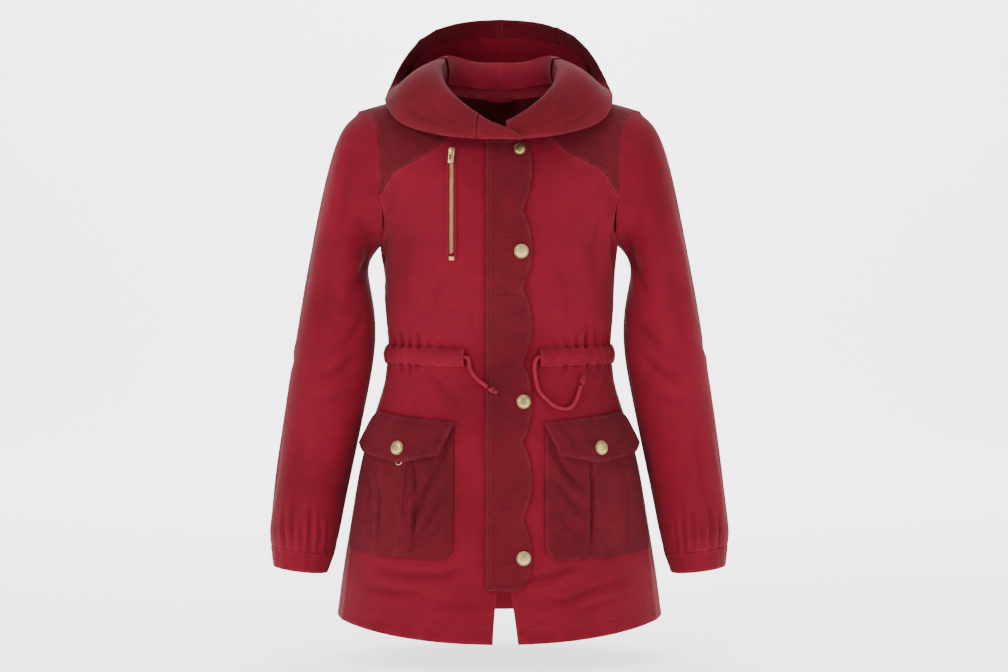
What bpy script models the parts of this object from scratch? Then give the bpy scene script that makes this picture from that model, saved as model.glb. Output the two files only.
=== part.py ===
"""A woman's hooded parka in two reds of cotton canvas, filled out as if worn, hood laid back.

Every cut piece is a thin wall of cloth. The walls follow three forms:
  the torso, a tube of super-elliptic sections that rounds over into the two shoulders,
  the sleeves, rings that start on the armhole loop and turn down the arm,
  the hood, a fan of profiles round the neck, from the neck seam over a soft roll to the brim.
Sizes are in millimetres here, and MM turns them into metres as each mesh is made.
The wearer's front faces -Y and the origin lies midway between the two neck ends of the shoulder seams.
"""

import math

import bmesh
import bpy
import numpy as np
from mathutils import Vector

MM = 0.001
WALL = 1.5            # canvas as it is sewn, one ply and its seam allowance
GAP = 0.3             # clearance between neighbouring pieces
HALF_GAP = GAP / 2
RIGHT, LEFT = -1, 1   # the wearer's sides: right lies at -X

# ---------------------------------------------------------------- the torso's form

# One row for each level: half the width, the depth in front of and behind the side line.
TORSO_LEVELS = [
    # level, half_width, front_depth, back_depth
    (-740, 220, 143, 138),
    (-650, 210, 137, 132),
    (-570, 197, 130, 127),
    (-475, 180, 121, 120),
    (-430, 166, 113, 109),
    (-395, 154, 106, 98),
    (-361, 147, 99, 90),
    (-339, 145, 98, 88),
    (-315, 149, 102, 91),
    (-260, 151, 112, 98),
    (-208, 156, 117, 102),
    (-160, 175, 113, 105),
    (-120, 191, 108, 104),
    (-75, 199, 101, 100),
    (-20, 203, 95, 93),
]
SQUARENESS = 2.2      # 2 is an ellipse; a clothed torso is a little squarer
SHOULDER_BREAK = -130  # above this level the chest rounds over towards the shoulder seam
ROUNDING = 110        # height of that rounding at the neck end of the shoulder
SHOULDER_SLOPE = 0.285
NECK_HALF_WIDTH = 78
NECK_DROP_FRONT = 74
NECK_DROP_BACK = 9
SHOULDER_TIP_X = 186
RIDGE = math.pi / 2   # the height coordinate of the shoulder seam

# ---------------------------------------------------------------- seam lines on the torso

HEM_SIDE = -691
HEM_FRONT_DROP = 22
HEM_BACK_DROP = 15
UNDERARM = -208

# The side seam runs a little in front of the widest line.
SIDE_SEAM = [
    # level, angle in degrees from the centre front
    (-720, 69),
    (-450, 72),
    (-350, 78),
    (-260, 86),
    (UNDERARM, 90),
]
# The armhole, from the underarm up the front; the back one mirrors it.
ARMHOLE = [
    # level, angle
    (UNDERARM, 90),
    (-204, 81),
    (-197, 72.5),
    (-187, 65.5),
    (-172, 60.8),
    (-158, 58.2),
    (-145, 57),
]
YOKE_END = (-145, 57)
ARMHOLE_ABOVE_YOKE = [
    # share of the way up, distance from the centre line
    (0.0, 151),
    (0.25, 153),
    (0.5, 158),
    (0.75, 168),
    (1.0, SHOULDER_TIP_X),
]
YOKE_LINE = [
    # distance from the centre line, level
    (50, -60),
    (66, -75),
    (87, -93),
    (102, -101),
    (119, -108),
    (134, -117),
    (145, -131),
    (151, -145),
]
BACK_YOKE_CENTRE = -118

# The two fronts meet at a zip behind the placket and part below it.
FRONT_EDGES = [
    # level, the right front's edge, the left front's edge (both as X)
    (-740, -9, 26),
    (-690, -7, 21),
    (-646, -3, 14),
    (-600, 1, 10),
    (-520, 3, 8),
    (0, 3, 8),
]

# Rows of the front and back panels, from hem to yoke: the level at the centre and at the side.
GATHERED = "gathered"
PANEL_ROWS = [
    # centre, side, kind
    (None, None, "hem"),
    (-684, -668, "plain"),
    (-645, -633, "plain"),
    (-605, -598, "plain"),
    (-565, -562, "plain"),
    (-525, -525, "plain"),
    (-487, -487, "plain"),
    (-450, -450, "plain"),
    (-416, -416, "plain"),
    (-393, -389, "plain"),
    (-379, -374, GATHERED),
    (-367, -362, GATHERED),
    (-355, -350, GATHERED),
    (-343, -338, GATHERED),
    (-331, -326, GATHERED),
    (-316, -312, "plain"),
    (-285, -288, "plain"),
    (-255, -262, "plain"),
    (-227, -235, "plain"),
]
ARM_ROWS_FRONT = [-198, -163, -120]  # centre levels of the rows that end on the armhole
ARM_ROWS_BACK = [-200, -186, -172, -158, -145, -131]
NECK_SHARES = [0.19, 0.32]            # the last rows end on the neckline, at these shares of it
FRONT_COLUMNS = 10
BACK_COLUMNS = 8
YOKE_ROWS = 5
SHOULDER_COLUMNS = 6
NECK_COLUMNS = 4

# ---------------------------------------------------------------- gathers at the waist

WAIST = -350          # at the sides and behind
WAIST_DIP = 5         # lower by this at the centre front
CASING_HALF = 12
GATHER_DEPTH = 1.5
GATHER_FADE = 30
FRONT_GATHERS = 9     # on each front, from the casing's end to the side seam
BACK_GATHERS = 10     # on each half of the back
POINTS_A_GATHER = 2
CASING_START = {RIGHT: 44, LEFT: 51}  # distance of the casing's open ends from the centre line

# ---------------------------------------------------------------- sleeves

SLEEVE_RINGS = [
    # outer x, outer z, underarm x, underarm z, half depth, middle y
    (199, -42, 165, -219, 66, 0),
    (212, -62, 171, -229, 65, 0),
    (223, -95, 174, -245, 64, -1),
    (234, -142, 169, -267, 62, -2),
    (247, -208, 163, -298, 60, -4),
    (258, -270, 162, -334, 59, -6),
    (268, -330, 166, -370, 58, -8),
    (278, -393, 175, -416, 57, -11),
    (288, -465, 188, -480, 55, -13),
    (296, -530, 201, -541, 53, -16),
    (300, -566, 207, -575, 51, -17),
    (301, -584, 212, -593, 47, -18),
    (298, -599.5, 216.5, -609.5, 41, -18),
]
GATHERED_SLEEVE_RINGS = 2  # this many of the last rings are drawn up by the cuff
CUFF_RINGS = [
    (298, -600.2, 216.5, -610.2, 40.5, -18),
    (297.5, -613, 220, -622, 41, -18),
    (295, -627, 226, -636, 39, -18),
]
CUFF_GATHERS = 16
CUFF_GATHER_DEPTH = 1.7

# ---------------------------------------------------------------- the hood

# Profiles round the neck: 0 degrees at the front, 180 at the back. Each lists, outward from the neck
# seam, seven points as distance from the neck's axis and level: the roll's crest, its shoulder, a point
# on the slope, the valley, the outer wall, a point above that, and the brim.
HOOD_PROFILES = [
    (0, 106, -62, 110, -61, 114, -64, 118, -68, 120, -72, 120, -75, 117, -79),
    (14, 108, -48, 113, -47, 117, -52, 120, -59, 122, -67, 122, -73, 120, -78),
    (30, 106, -26, 114, -24, 122, -32, 128, -46, 131, -59, 131, -69, 128, -74),
    (45, 98, -4, 108, -1, 121, -9, 132, -25, 137, -42, 137, -57, 132, -67),
    (58, 88, 14, 99, 18, 119, 11, 137, -8, 146, -29, 147, -46, 142, -57),
    (68, 82, 22, 95, 26, 116, 17, 136, 0, 147, -19, 151, -34, 149, -44),
    (76, 78, 27, 92, 31, 112, 21, 130, 7, 143, -7, 151, -18, 151, -27),
    (85, 74, 32, 88, 35, 106, 20, 120, 10, 134, 3, 145, -4, 149, -13),
    (90, 74, 34, 88, 36, 104, 20, 117, 9, 129, 4, 138, 2, 146, -3),
    (95, 73, 36, 87, 37, 101, 19, 113, 7, 125, 4, 136, 4, 144, 7),
    (100, 74, 38.5, 88, 38.5, 102, 17, 113, 4, 127, 1, 138, 7, 143, 19),
    (105, 75, 41, 89, 40, 102, 13, 115, -2, 130, -3, 141, 15, 139, 35),
    (115, 78, 45, 91, 43, 104, -4, 118, -22, 141, -6, 144, 40, 131, 62),
    (126, 80, 46, 93, 44, 106, -24, 123, -47, 150, -8, 143, 58, 123, 82),
    (145, 79, 42, 93, 42, 111, -50, 133, -72, 163, -8, 141, 77, 117, 99),
    (160, 76, 39, 92, 40, 113, -62, 138, -84, 170, -10, 144, 86, 121, 107),
    (180, 75, 38, 92, 39, 115, -66, 140, -88, 174, -10, 146, 90, 124, 111),
]
HOOD_COLUMNS = 17
HOOD_ROWS = [0, 0.2, 0.5, 1, 1.5, 2, 2.6, 3.3, 4, 4.6, 5.3, 6, 7]  # 0 the neck seam, 1 the crest, 7 the brim
HOOD_END_FROM = 13.5  # degrees from the centre front where the red end piece is sewn to the right half
HOOD_END_TIP = -13    # it passes the centre front and tapers to a tip here
HOOD_END_TOP = [
    # degrees, level of its upper edge
    (-13, -76),
    (-7, -70),
    (0, -62.5),
    (7, -56),
    (14, -48),
]
HOOD_END_RADIUS = 129  # its flat end lies this far out, clear of the left half
HOOD_END_BOTTOM = -80
HOOD_END_TURNS = [13.3, 9, 4.5, 0.5, -3, -6, -9.5, HOOD_END_TIP]
HOOD_END_FOLD = (3.2, 4)  # past the neckline its upper edge is turned in by this much
LINING_WALL = 1.0
LINING_EDGE = [
    # degrees, where the lining ends on the scale of HOOD_ROWS
    (96, 3.4),
    (106, 4.8),
    (116, 5.6),
    (126, 6.0),
    (180, 6.0),
]
LINING_FROM = 96
LINING_START = 0.2

# ---------------------------------------------------------------- placket, pockets and trims

PLACKET_LEFT = -17    # X of its sewn edge; it is sewn to the right front
PLACKET_VALLEY = 29.5  # X of the notches between its scallops
PLACKET_SCALLOP = 12.5  # height of a scallop
PLACKET_TOP = -75.5
PLACKET_BOTTOM = -647
SCALLOP_NOTCHES = [-62, -167, -266, -361, -461, -557, -652]  # levels where two scallops meet
PLACKET_CORNERS = [
    # level, the furthest X of the right edge there
    (PLACKET_BOTTOM, 23),
    (-638, 34),
    (-620, 42),
    (-600, 45),
    (-110, 45),
    (-92, 37.5),
    (-82, 34),
    (PLACKET_TOP, 26),
]
PLACKET_WALL = 2.0    # two plies
PLACKET_LIFT = 0.8
PLACKET_SNAPS = [
    # x, level, radius
    (25.5, -91, 7.5),
    (27.5, -220, 9),
    (30.5, -411, 9),
    (30.5, -606, 9),
]
SNAP_RADIUS = 9
SNAP_HEIGHT = 3.3

POCKET_INNER_X = 58
POCKET_OUTER_ANGLE = 73  # its outer edge, in degrees round the hip
POCKET_TOP = -446
POCKET_BOTTOM = -609
POCKET_RISE = 6       # its bottom edge is this much higher at the outer end
POCKET_CORNER = 16
POCKET_LIFT = 0.6
POCKET_BULGE = 1.6
PLEAT_MIDDLE = 0.5    # share of the pocket's width
PLEAT_HALF = 0.135
PLEAT_RAISE = 2.0
POCKET_WALL = 1.3
POCKET_LEVELS = [1.0, 0.86, 0.68, 0.5, 0.32, 0.16, 0.08, 0.025, 0.0]  # shares up from its bottom edge

FLAP_TOP_EDGE = [
    # share across, angle in degrees, level
    (0.0, 17.0, -436.5),
    (0.5, 42.0, -431),
    (1.0, 70.0, -424.6),
]
FLAP_LOWER_EDGE = [
    (0.0, 21.9, -478.6),
    (0.42, 41.0, -489.5),
    (0.86, 67.0, -479),
    (1.0, 75.0, -468),
]
FLAP_COLUMNS = [0.0, 0.1, 0.21, 0.32, 0.42, 0.53, 0.64, 0.75, 0.86, 0.93, 1.0]
FLAP_ROWS = [0.0, 0.2, 0.45, 0.72, 1.0]
FLAP_WALL = 2.0
FLAP_LIFTS = [0.5, 5.6, 6.5, 7.4, 8.2]  # of its underside, row by row, clear of the pocket's pleat
FLAP_SNAP = (124.3, -471, 9)
FLAP_SNAP_DROP = 0.7   # how far down the flap it sits, as a share
SNAP_SEAT = 0.4        # clearance under a snap's rim, on the placket; a little more on a flap
FLAP_SNAP_SEAT = 0.6

CHEST_ZIP_X = 60
CHAIN_TOP, CHAIN_BOTTOM = -98.5, -225
CHAIN_HALF = 2.9
CHAIN_DEPTH = 1.6
TAPE_DEPTH = 0.9
TRIM_LIFT = 0.5       # clearance under small trim laid on the curved panels
SLIDER_LEVEL = -93    # middle of the chest zip's slider
SLIDER_ACROSS = [-3.9, -0.9, 0.9, 3.9]
SLIDER_UP = [-5, -3.8, -2.6, 1.6, 2.8, 5]
SLIDER_OUT = [0, 2.6, 4.6, 5.6]
PULL_PIVOT_UP, PULL_PIVOT_OUT = -1.75, 3.6  # from the slider's middle and its back
PULL_BAR = 0.55       # half the thickness of the bar in the slider's bridge
PULL_ACROSS = [-3.6, -2.3, 2.3, 3.6]
PULL_LENGTH = 15
PULL_TAB = 5
BAR_TACK = (-226.5, -231)
BAR_TACK_HALF = 3.4
CHAIN_STEPS = 7
FRONT_ZIP_X = 5.5
FRONT_ZIP_HALF = 13
FRONT_ZIP_GAP = 1.3   # behind the fronts' inner faces
FRONT_ZIP_TOP, FRONT_ZIP_BOTTOM = -128, -628
FRONT_ZIP_STEPS = 26

CASING_ROWS = [
    # distance from its middle line, how far its inner face stands off the panel
    (-12, 0.4),
    (-5.5, 4.6),
    (5.5, 4.6),
    (12, 0.4),
]
CASING_WALL = 1.2
CASING_PUCKER = 1.6
CASING_MOUTH = 2.0    # its open ends stand this much further off, round the cord
CASING_MOUTH_LENGTH = 6  # in columns

CORD_DIAMETER = 5
CORDS = {
    # x, level, how far the cord's middle stands off the torso's form
    RIGHT: [
        (-52, -353.5, 3.5), (-45, -353.5, 3.5), (-39.5, -355.5, 4.0), (-37.5, -362, 4.6), (-36.5, -369, 4.2),
        (-32.5, -376.5, 3.8), (-26, -384, 4.6), (-19.5, -389, 6.0), (-14.2, -393, 6.6),
    ],
    LEFT: [
        (62, -353.5, 3.5), (55, -353.5, 3.5), (48.5, -354.5, 3.8), (44.8, -361, 4.0), (44.3, -372, 3.6),
        (46.8, -388, 3.4), (51, -399, 3.2), (59.5, -408, 3.2), (69, -416, 3.2), (80, -420, 3.2),
        (90, -418, 3.4), (96, -410, 3.8), (99.5, -400, 4.0), (102, -391.5, 4.2),
    ],
}
KNOTS = {RIGHT: (-9.5, -396.5, 7.3), LEFT: (103.6, -386, 4.8)}
KNOT_RADIUS = 4.2
HANGER = [
    # x, y, z along the middle of the loop's rear face
    (-18, 51.4, -8),
    (-13, 49.6, -9),
    (-7, 48.2, -10),
    (0, 47.6, -10.4),
    (7, 48.2, -10),
    (13, 49.6, -9),
    (18, 51.4, -8),
]
HANGER_WIDTH = 6
HANGER_WALL = 1.0

BRIGHT_RED = (0.33, 0.012, 0.025, 1)
BURGUNDY = (0.17, 0.012, 0.02, 1)
BRASS = (0.62, 0.50, 0.26, 1)


# ---------------------------------------------------------------- small helpers

def smooth_table(rows):
    """A function that reads a table's other columns at any value of its first, along smooth curves."""
    data = np.array(sorted(rows), float)
    keys, values = data[:, 0], data[:, 1:]
    slopes = np.gradient(values, keys, axis=0)

    def read(key):
        key = min(max(key, keys[0]), keys[-1])
        i = min(max(int(np.searchsorted(keys, key)) - 1, 0), len(keys) - 2)
        span = keys[i + 1] - keys[i]
        t = (key - keys[i]) / span
        a, b = values[i], values[i + 1]
        low, high = slopes[i] * span, slopes[i + 1] * span
        return (
            a * (2 * t**3 - 3 * t**2 + 1)
            + low * (t**3 - 2 * t**2 + t)
            + b * (3 * t**2 - 2 * t**3)
            + high * (t**3 - t**2)
        )

    return read


def straight_table(rows):
    """The same, along straight lines."""
    data = np.array(sorted(rows), float)
    return lambda key: np.array([np.interp(key, data[:, 0], column) for column in data[:, 1:].T])


def unit(v):
    return v / max(np.linalg.norm(v), 1e-9)


def signed_power(value, power):
    return math.copysign(abs(value) ** power, value)


def smoothstep(t):
    t = min(max(t, 0.0), 1.0)
    return t * t * (3 - 2 * t)


# ---------------------------------------------------------------- the torso's surface
# A place on the torso is (angle, height): the angle in radians from the centre front round the side to
# the centre back, and a height that is 0 at the break of the shoulder and RIDGE on the shoulder seam.

torso_level = smooth_table(TORSO_LEVELS)
side_seam_angle = straight_table(SIDE_SEAM)
front_edges = smooth_table(FRONT_EDGES)


def ridge_level(x):
    """Level of the shoulder seam's line at a distance from the centre line."""
    return -SHOULDER_SLOPE * (abs(x) - NECK_HALF_WIDTH)


def torso(angle, height, side):
    """The point of the torso's surface there."""
    rise = ROUNDING * (height if height < 0 else math.sin(height))
    half_width, front, back = torso_level(SHOULDER_BREAK + rise)
    x = half_width * signed_power(math.sin(angle), 2 / SQUARENESS)
    forward = signed_power(math.cos(angle), 2 / SQUARENESS)
    depth = (front if forward > 0 else back) * forward
    if height < 0:
        return np.array([side * x, -depth, SHOULDER_BREAK + rise])
    z = SHOULDER_BREAK + (ridge_level(x) - SHOULDER_BREAK) * math.sin(height)
    return np.array([side * x, -depth * math.cos(height), z])


def torso_normal(angle, height, side):
    """The outward normal there, from two short steps each way."""
    step = 0.004
    round_it = torso(angle + step, height, side) - torso(angle - step, height, side)
    up_it = torso(angle, height + step, side) - torso(angle, height - step, side)
    normal = unit(np.cross(round_it, up_it)) * side
    return normal


def height_at(x, z):
    """The height coordinate of a level, at a distance from the centre line."""
    if z <= SHOULDER_BREAK:
        return (z - SHOULDER_BREAK) / ROUNDING
    share = (z - SHOULDER_BREAK) / (ridge_level(x) - SHOULDER_BREAK)
    return math.asin(min(share, 1.0))


def place_at(x, z):
    """(angle, height) of the front surface's point at x, z."""
    height = height_at(x, z)
    rise = ROUNDING * (height if height < 0 else math.sin(height))
    half_width = torso_level(SHOULDER_BREAK + rise)[0]
    return math.asin(min(1.0, signed_power(x / half_width, SQUARENESS / 2))), height


# ---------------------------------------------------------------- gathers

def waist_level(angle):
    """Level of the waist casing's middle line at an angle: it dips a little at the front."""
    side_angle = math.radians(float(side_seam_angle(WAIST)[0]))
    return WAIST - WAIST_DIP * (1 - min(abs(angle) / side_angle, 1.0))


def gather_height(angle, z, side):
    """How far the cloth stands out at that place because the waist is drawn in."""
    beyond = max(0.0, abs(z - waist_level(angle)) - CASING_HALF)
    band = max(0.0, 1 - beyond / GATHER_FADE) ** 2
    side_angle = math.radians(float(side_seam_angle(z)[0]))
    if angle <= side_angle:
        start = place_at(CASING_START[side], WAIST)[0]
        share, count = (angle - start) / (side_angle - start), FRONT_GATHERS
    else:
        share, count = (math.pi - angle) / (math.pi - side_angle), BACK_GATHERS
    if band == 0 or share < 0:
        return 0.0
    uneven = (0.75 + 0.25 * math.cos(5 * share * count)) * smoothstep(share * count / 2)
    return GATHER_DEPTH * band * uneven * (1 - math.cos(2 * math.pi * count * share)) / 2


def lifted(place, side, lift):
    """The point that stands `lift` off the torso's form at a place."""
    return torso(*place, side) + torso_normal(*place, side) * lift


# ---------------------------------------------------------------- sheets of cloth as solids

class Sheet:
    """A wall of cloth built of rows. Each row lists shares from 0 to 1 and its outer and inner points."""

    def __init__(self, closed=False):
        self.rows = []
        self.closed = closed

    def add(self, shares, pairs):
        self.rows.append((list(shares), [p[0] for p in pairs], [p[1] for p in pairs]))

    def solid(self, name, material):
        """One closed mesh: both faces, joined by a rim."""
        outer_ids, inner_ids, points = [], [], []
        for _, outer, inner in self.rows:
            outer_ids.append(range(len(points), len(points) + len(outer)))
            points += outer
            inner_ids.append(range(len(points), len(points) + len(inner)))
            points += inner
        faces = []
        last = len(self.rows) - 1
        for i in range(last):
            for strip in self.strip(i):
                faces.append([outer_ids[i + up][k] for up, k in strip])
                faces.append([inner_ids[i + up][k] for up, k in strip][::-1])
            if not self.closed:
                for end, flip in ((0, True), (-1, False)):
                    rim = [outer_ids[i + 1][end], outer_ids[i][end], inner_ids[i][end], inner_ids[i + 1][end]]
                    faces.append(rim[::-1] if flip else rim)
        for i, flip in ((0, False), (last, True)):
            count = len(outer_ids[i])
            for k in range(count if self.closed else count - 1):
                after = (k + 1) % count
                rim = [outer_ids[i][after], outer_ids[i][k], inner_ids[i][k], inner_ids[i][after]]
                faces.append(rim[::-1] if flip else rim)
        return make_object(name, points, faces, material)

    def strip(self, i):
        """Triangles between row i and the next, as corners (0 for this row or 1 for the next, index)."""
        low, high = list(self.rows[i][0]), list(self.rows[i + 1][0])
        count_low, count_high = len(low), len(high)
        if self.closed:
            low, high = low + [1.0], high + [1.0]
        same = len(low) == len(high)
        a, b, faces = 0, 0, []
        while a < len(low) - 1 or b < len(high) - 1:
            here_low, here_high = (0, a % count_low), (1, b % count_high)
            if b == len(high) - 1 or (a < len(low) - 1 and (a <= b if same else low[a + 1] <= high[b + 1])):
                a += 1
                faces.append([here_low, (0, a % count_low), here_high])
            else:
                b += 1
                faces.append([here_low, (1, b % count_high), here_high])
        return faces


def make_object(name, points, faces, material):
    """A mesh object from points in millimetres, with its faces turned outwards."""
    mesh = bpy.data.meshes.new(name)
    mesh.from_pydata([Vector(p) * MM for p in points], [], faces)
    work = bmesh.new()
    work.from_mesh(mesh)
    if work.calc_volume(signed=True) < 0:
        bmesh.ops.reverse_faces(work, faces=work.faces)
    work.to_mesh(mesh)
    work.free()
    mesh.shade_smooth()
    mesh.set_sharp_from_angle(angle=math.radians(50))
    mesh.materials.append(material)
    thing = bpy.data.objects.new(name, mesh)
    bpy.context.scene.collection.objects.link(thing)
    return thing


def make_material(name, colour, roughness, metallic=0.0):
    material = bpy.data.materials.new(name)
    material.use_nodes = True
    shader = material.node_tree.nodes["Principled BSDF"]
    shader.inputs["Base Color"].default_value = colour
    shader.inputs["Roughness"].default_value = roughness
    shader.inputs["Metallic"].default_value = metallic
    return material


# ---------------------------------------------------------------- seam lines as places

yoke_line = straight_table([(i / (len(YOKE_LINE) - 1), *row) for i, row in enumerate(YOKE_LINE)])
upper_armhole = smooth_table(ARMHOLE_ABOVE_YOKE)
YOKE_AT_NECK = math.asin(YOKE_LINE[0][0] / NECK_HALF_WIDTH) / (math.pi / 2)


def between(a, b, share):
    return a[0] + (b[0] - a[0]) * share, a[1] + (b[1] - a[1]) * share


def to_back(place):
    return math.pi - place[0], place[1]


def shift(place, side, toward, distance):
    """A place moved along the surface towards another, by a seam's clearance."""
    here, there = torso(*place, side), torso(*toward, side)
    return between(place, toward, distance / max(np.linalg.norm(there - here), 1e-6))


def neck_place(share):
    """The front neckline: 0 at the centre front, 1 at the shoulder seam."""
    turn = share * math.pi / 2
    return place_at(NECK_HALF_WIDTH * math.sin(turn), -NECK_DROP_FRONT * math.cos(turn))


def back_neck_place(share):
    """The back neckline: 0 at the centre back, 1 at the shoulder seam."""
    turn = share * math.pi / 2
    return to_back(place_at(NECK_HALF_WIDTH * math.sin(turn), -NECK_DROP_BACK * math.cos(turn)))


def ridge_place(share):
    """The shoulder seam: 0 at the neck, 1 at the armhole."""
    x = NECK_HALF_WIDTH + (SHOULDER_TIP_X - NECK_HALF_WIDTH) * share
    return place_at(x, ridge_level(x))[0], RIDGE


def yoke_place(share):
    """The front yoke's lower seam: 0 at the neckline, 1 at the armhole."""
    if share <= 0:
        return neck_place(YOKE_AT_NECK)
    if share >= 1:
        return math.radians(YOKE_END[1]), height_at(0, YOKE_END[0])
    return place_at(*yoke_line(share))


def upper_armhole_place(share):
    """The armhole along the front yoke: 0 at its lower seam, 1 at the shoulder seam."""
    low, top = yoke_place(1), ridge_place(1)
    height = low[1] + (RIDGE - low[1]) * share
    rise = ROUNDING * (height if height < 0 else math.sin(height))
    half_width = torso_level(SHOULDER_BREAK + rise)[0]
    across = math.asin(min(1.0, (float(upper_armhole(share)[0]) / half_width) ** (SQUARENESS / 2)))
    start, end = smoothstep(share * 4), smoothstep((share - 0.75) * 4)
    return (low[0] * (1 - start) + across * start) * (1 - end) + top[0] * end, height


def back_yoke_seam(share):
    """The back yoke's lower seam: 0 at the centre back, 1 at the armhole."""
    centre, end = (math.pi, height_at(0, BACK_YOKE_CENTRE)), to_back(yoke_place(1))
    return centre[0] + (end[0] - centre[0]) * share, centre[1] + (end[1] - centre[1]) * share**3


def front_centre_place(z, side):
    """The place of a front panel's centre edge at a level."""
    right_edge, left_edge = front_edges(z)
    return place_at(-right_edge if side == RIGHT else left_edge, z)


def neck_loop(side):
    """Places along half the neckline, from the front's centre edge to the centre back."""
    front = [front_centre_place(-NECK_DROP_FRONT, side)] + [neck_place(s) for s in NECK_SHARES]
    yoke = [neck_place(YOKE_AT_NECK + (1 - YOKE_AT_NECK) * i / YOKE_ROWS) for i in range(YOKE_ROWS)]
    return front + yoke + [back_neck_place(1 - i / NECK_COLUMNS) for i in range(NECK_COLUMNS + 1)]


def armhole_loop():
    """Places round one armhole, from the shoulder seam down the front and up the back."""
    front = [upper_armhole_place(1 - i / YOKE_ROWS) for i in range(YOKE_ROWS)]
    front += [(math.radians(a), height_at(0, z)) for z, a in reversed(ARMHOLE)]
    return front + [to_back(p) for p in reversed(front[1:-1])]


# ---------------------------------------------------------------- where two walls meet in a seam
# A sleeve or the hood meets the torso along a loop of points. There both walls end on faces that lie
# halfway between their two normals.

def mitre(a, b):
    """Direction and length of the end face, for each millimetre of wall, between normals a and b."""
    middle = unit(a + b)
    return middle * min(1.4, 1 / max(np.dot(middle, a), 0.3))


def ring_point(ring, turn, side):
    """A point of a sleeve's ring: turn 0 on the outside of the arm, half a turn under it."""
    outer_x, outer_z, inner_x, inner_z, depth, middle = ring
    share = (1 + math.cos(turn)) / 2
    x = inner_x + (outer_x - inner_x) * share
    z = inner_z + (outer_z - inner_z) * share
    return np.array([side * x, middle - depth * math.sin(turn), z])


def sleeve_turns():
    """Turns of the first ring's points, spaced like the points of the armhole."""
    loop = [torso(*p, LEFT) for p in armhole_loop()]
    middle = np.mean(loop, axis=0)
    half_height = (max(p[2] for p in loop) - min(p[2] for p in loop)) / 2
    half_depth = max(abs(p[1]) for p in loop)
    turns = [math.atan2((middle[1] - p[1]) / half_depth, (p[2] - middle[2]) / half_height) for p in loop]
    return [0.0] + [turn % (2 * math.pi) for turn in turns[1:]]


def armhole_mitres(side):
    places = armhole_loop()
    points = [torso(*p, side) for p in places]
    first = [ring_point(SLEEVE_RINGS[0], t, side) for t in sleeve_turns()]
    middle = np.mean(points, axis=0)
    mitres = {}
    for i, (place, point) in enumerate(zip(places, points)):
        along = points[(i + 1) % len(points)] - points[i - 1]
        sleeve_normal = unit(np.cross(along, first[i] - point))
        if np.dot(sleeve_normal, point - middle) < 0:
            sleeve_normal = -sleeve_normal
        mitres[key_of(place)] = mitre(torso_normal(*place, side), sleeve_normal)
    return mitres


def key_of(place):
    """A place's key among the mitres. On the shoulder seam the front and the back are one."""
    angle = min(place[0], math.pi - place[0]) if place[1] > RIDGE - 1e-6 else place[0]
    return round(angle, 5), round(place[1], 5)


hood_profile = smooth_table([(math.radians(row[0]), *row[1:]) for row in HOOD_PROFILES])


def hood_section(turn):
    """Control points of the hood's profile at a turn round the neck, as (distance, level)."""
    return hood_profile(min(abs(turn), 2 * math.pi - abs(turn))).reshape(-1, 2)


def turn_of(point):
    """The turn round the neck of a point, 0 at the front."""
    return math.atan2(abs(point[0]), -point[1])


def round_neck(side, turn, radius, level):
    return np.array([side * radius * math.sin(turn), -radius * math.cos(turn), level])


def neck_mitres(side):
    places = neck_loop(side)
    points = [torso(*p, side) for p in places]
    mitres = {}
    for i, (place, point) in enumerate(zip(places, points)):
        along = points[min(i + 1, len(points) - 1)] - points[max(i - 1, 0)]
        crest = round_neck(side, turn_of(point), *hood_section(turn_of(point))[0])
        hood_side = unit(np.cross(along, crest - point))
        if np.dot(hood_side, point * [1, 1, 0]) < 0:
            hood_side = -hood_side
        if i == len(points) - 1:
            hood_side = unit(hood_side * [0, 1, 1])
        mitres[key_of(place)] = mitre(torso_normal(*place, side), hood_side)
    return mitres


MITRES = {side: {**neck_mitres(side), **armhole_mitres(side)} for side in (RIGHT, LEFT)}


def panel_pair(place, side, moved=None):
    """(outer, inner) points of a torso panel. `moved` is the place after its seam's clearance."""
    base = torso(*(moved or place), side)
    normal = MITRES[side].get(key_of(place))
    if normal is None:
        normal = torso_normal(*place, side)
    out = gather_height(place[0], base[2], side)
    return base + normal * out, base + normal * (out - WALL)


# ---------------------------------------------------------------- torso panels

def hem_level(angle):
    drop = HEM_FRONT_DROP if math.cos(angle) > 0 else HEM_BACK_DROP
    return HEM_SIDE - drop * math.cos(angle) ** 2


def even_shares(columns):
    return [i / columns for i in range(columns + 1)]


def gathered_shares(start, gathers):
    """Shares along a gathered row: three even ones up to `start`, then some on every gather."""
    steps = gathers * POINTS_A_GATHER
    return [start * i / 3 for i in range(3)] + [start + (1 - start) * s for s in even_shares(steps)]


def seam_places():
    """Each panel row's centre level, its place on the side seam or the front armhole, and its kind."""
    rows = []
    for centre, level, kind in PANEL_ROWS:
        angle = math.radians(float(side_seam_angle(HEM_SIDE if kind == "hem" else level)[0]))
        level = hem_level(angle) if kind == "hem" else level
        rows.append((centre, (angle, height_at(0, level)), kind))
    return rows, [(math.radians(a), height_at(0, z)) for z, a in ARMHOLE]


def front_row_ends(side):
    """For each row of a front: its place on the centre edge or neckline, on the side, and its kind."""
    rows, arm = seam_places()
    rows = [(hem_level(0) if kind == "hem" else centre, place, kind) for centre, place, kind in rows]
    rows += [(centre, place, "arm") for centre, place in zip(ARM_ROWS_FRONT, arm)]
    ends = [(front_centre_place(centre, side), place, kind) for centre, place, kind in rows]
    neck = neck_loop(side)[:len(arm) - len(ARM_ROWS_FRONT)]
    return ends + [(n, place, "arm") for n, place in zip(neck, arm[len(ARM_ROWS_FRONT):])]


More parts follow.
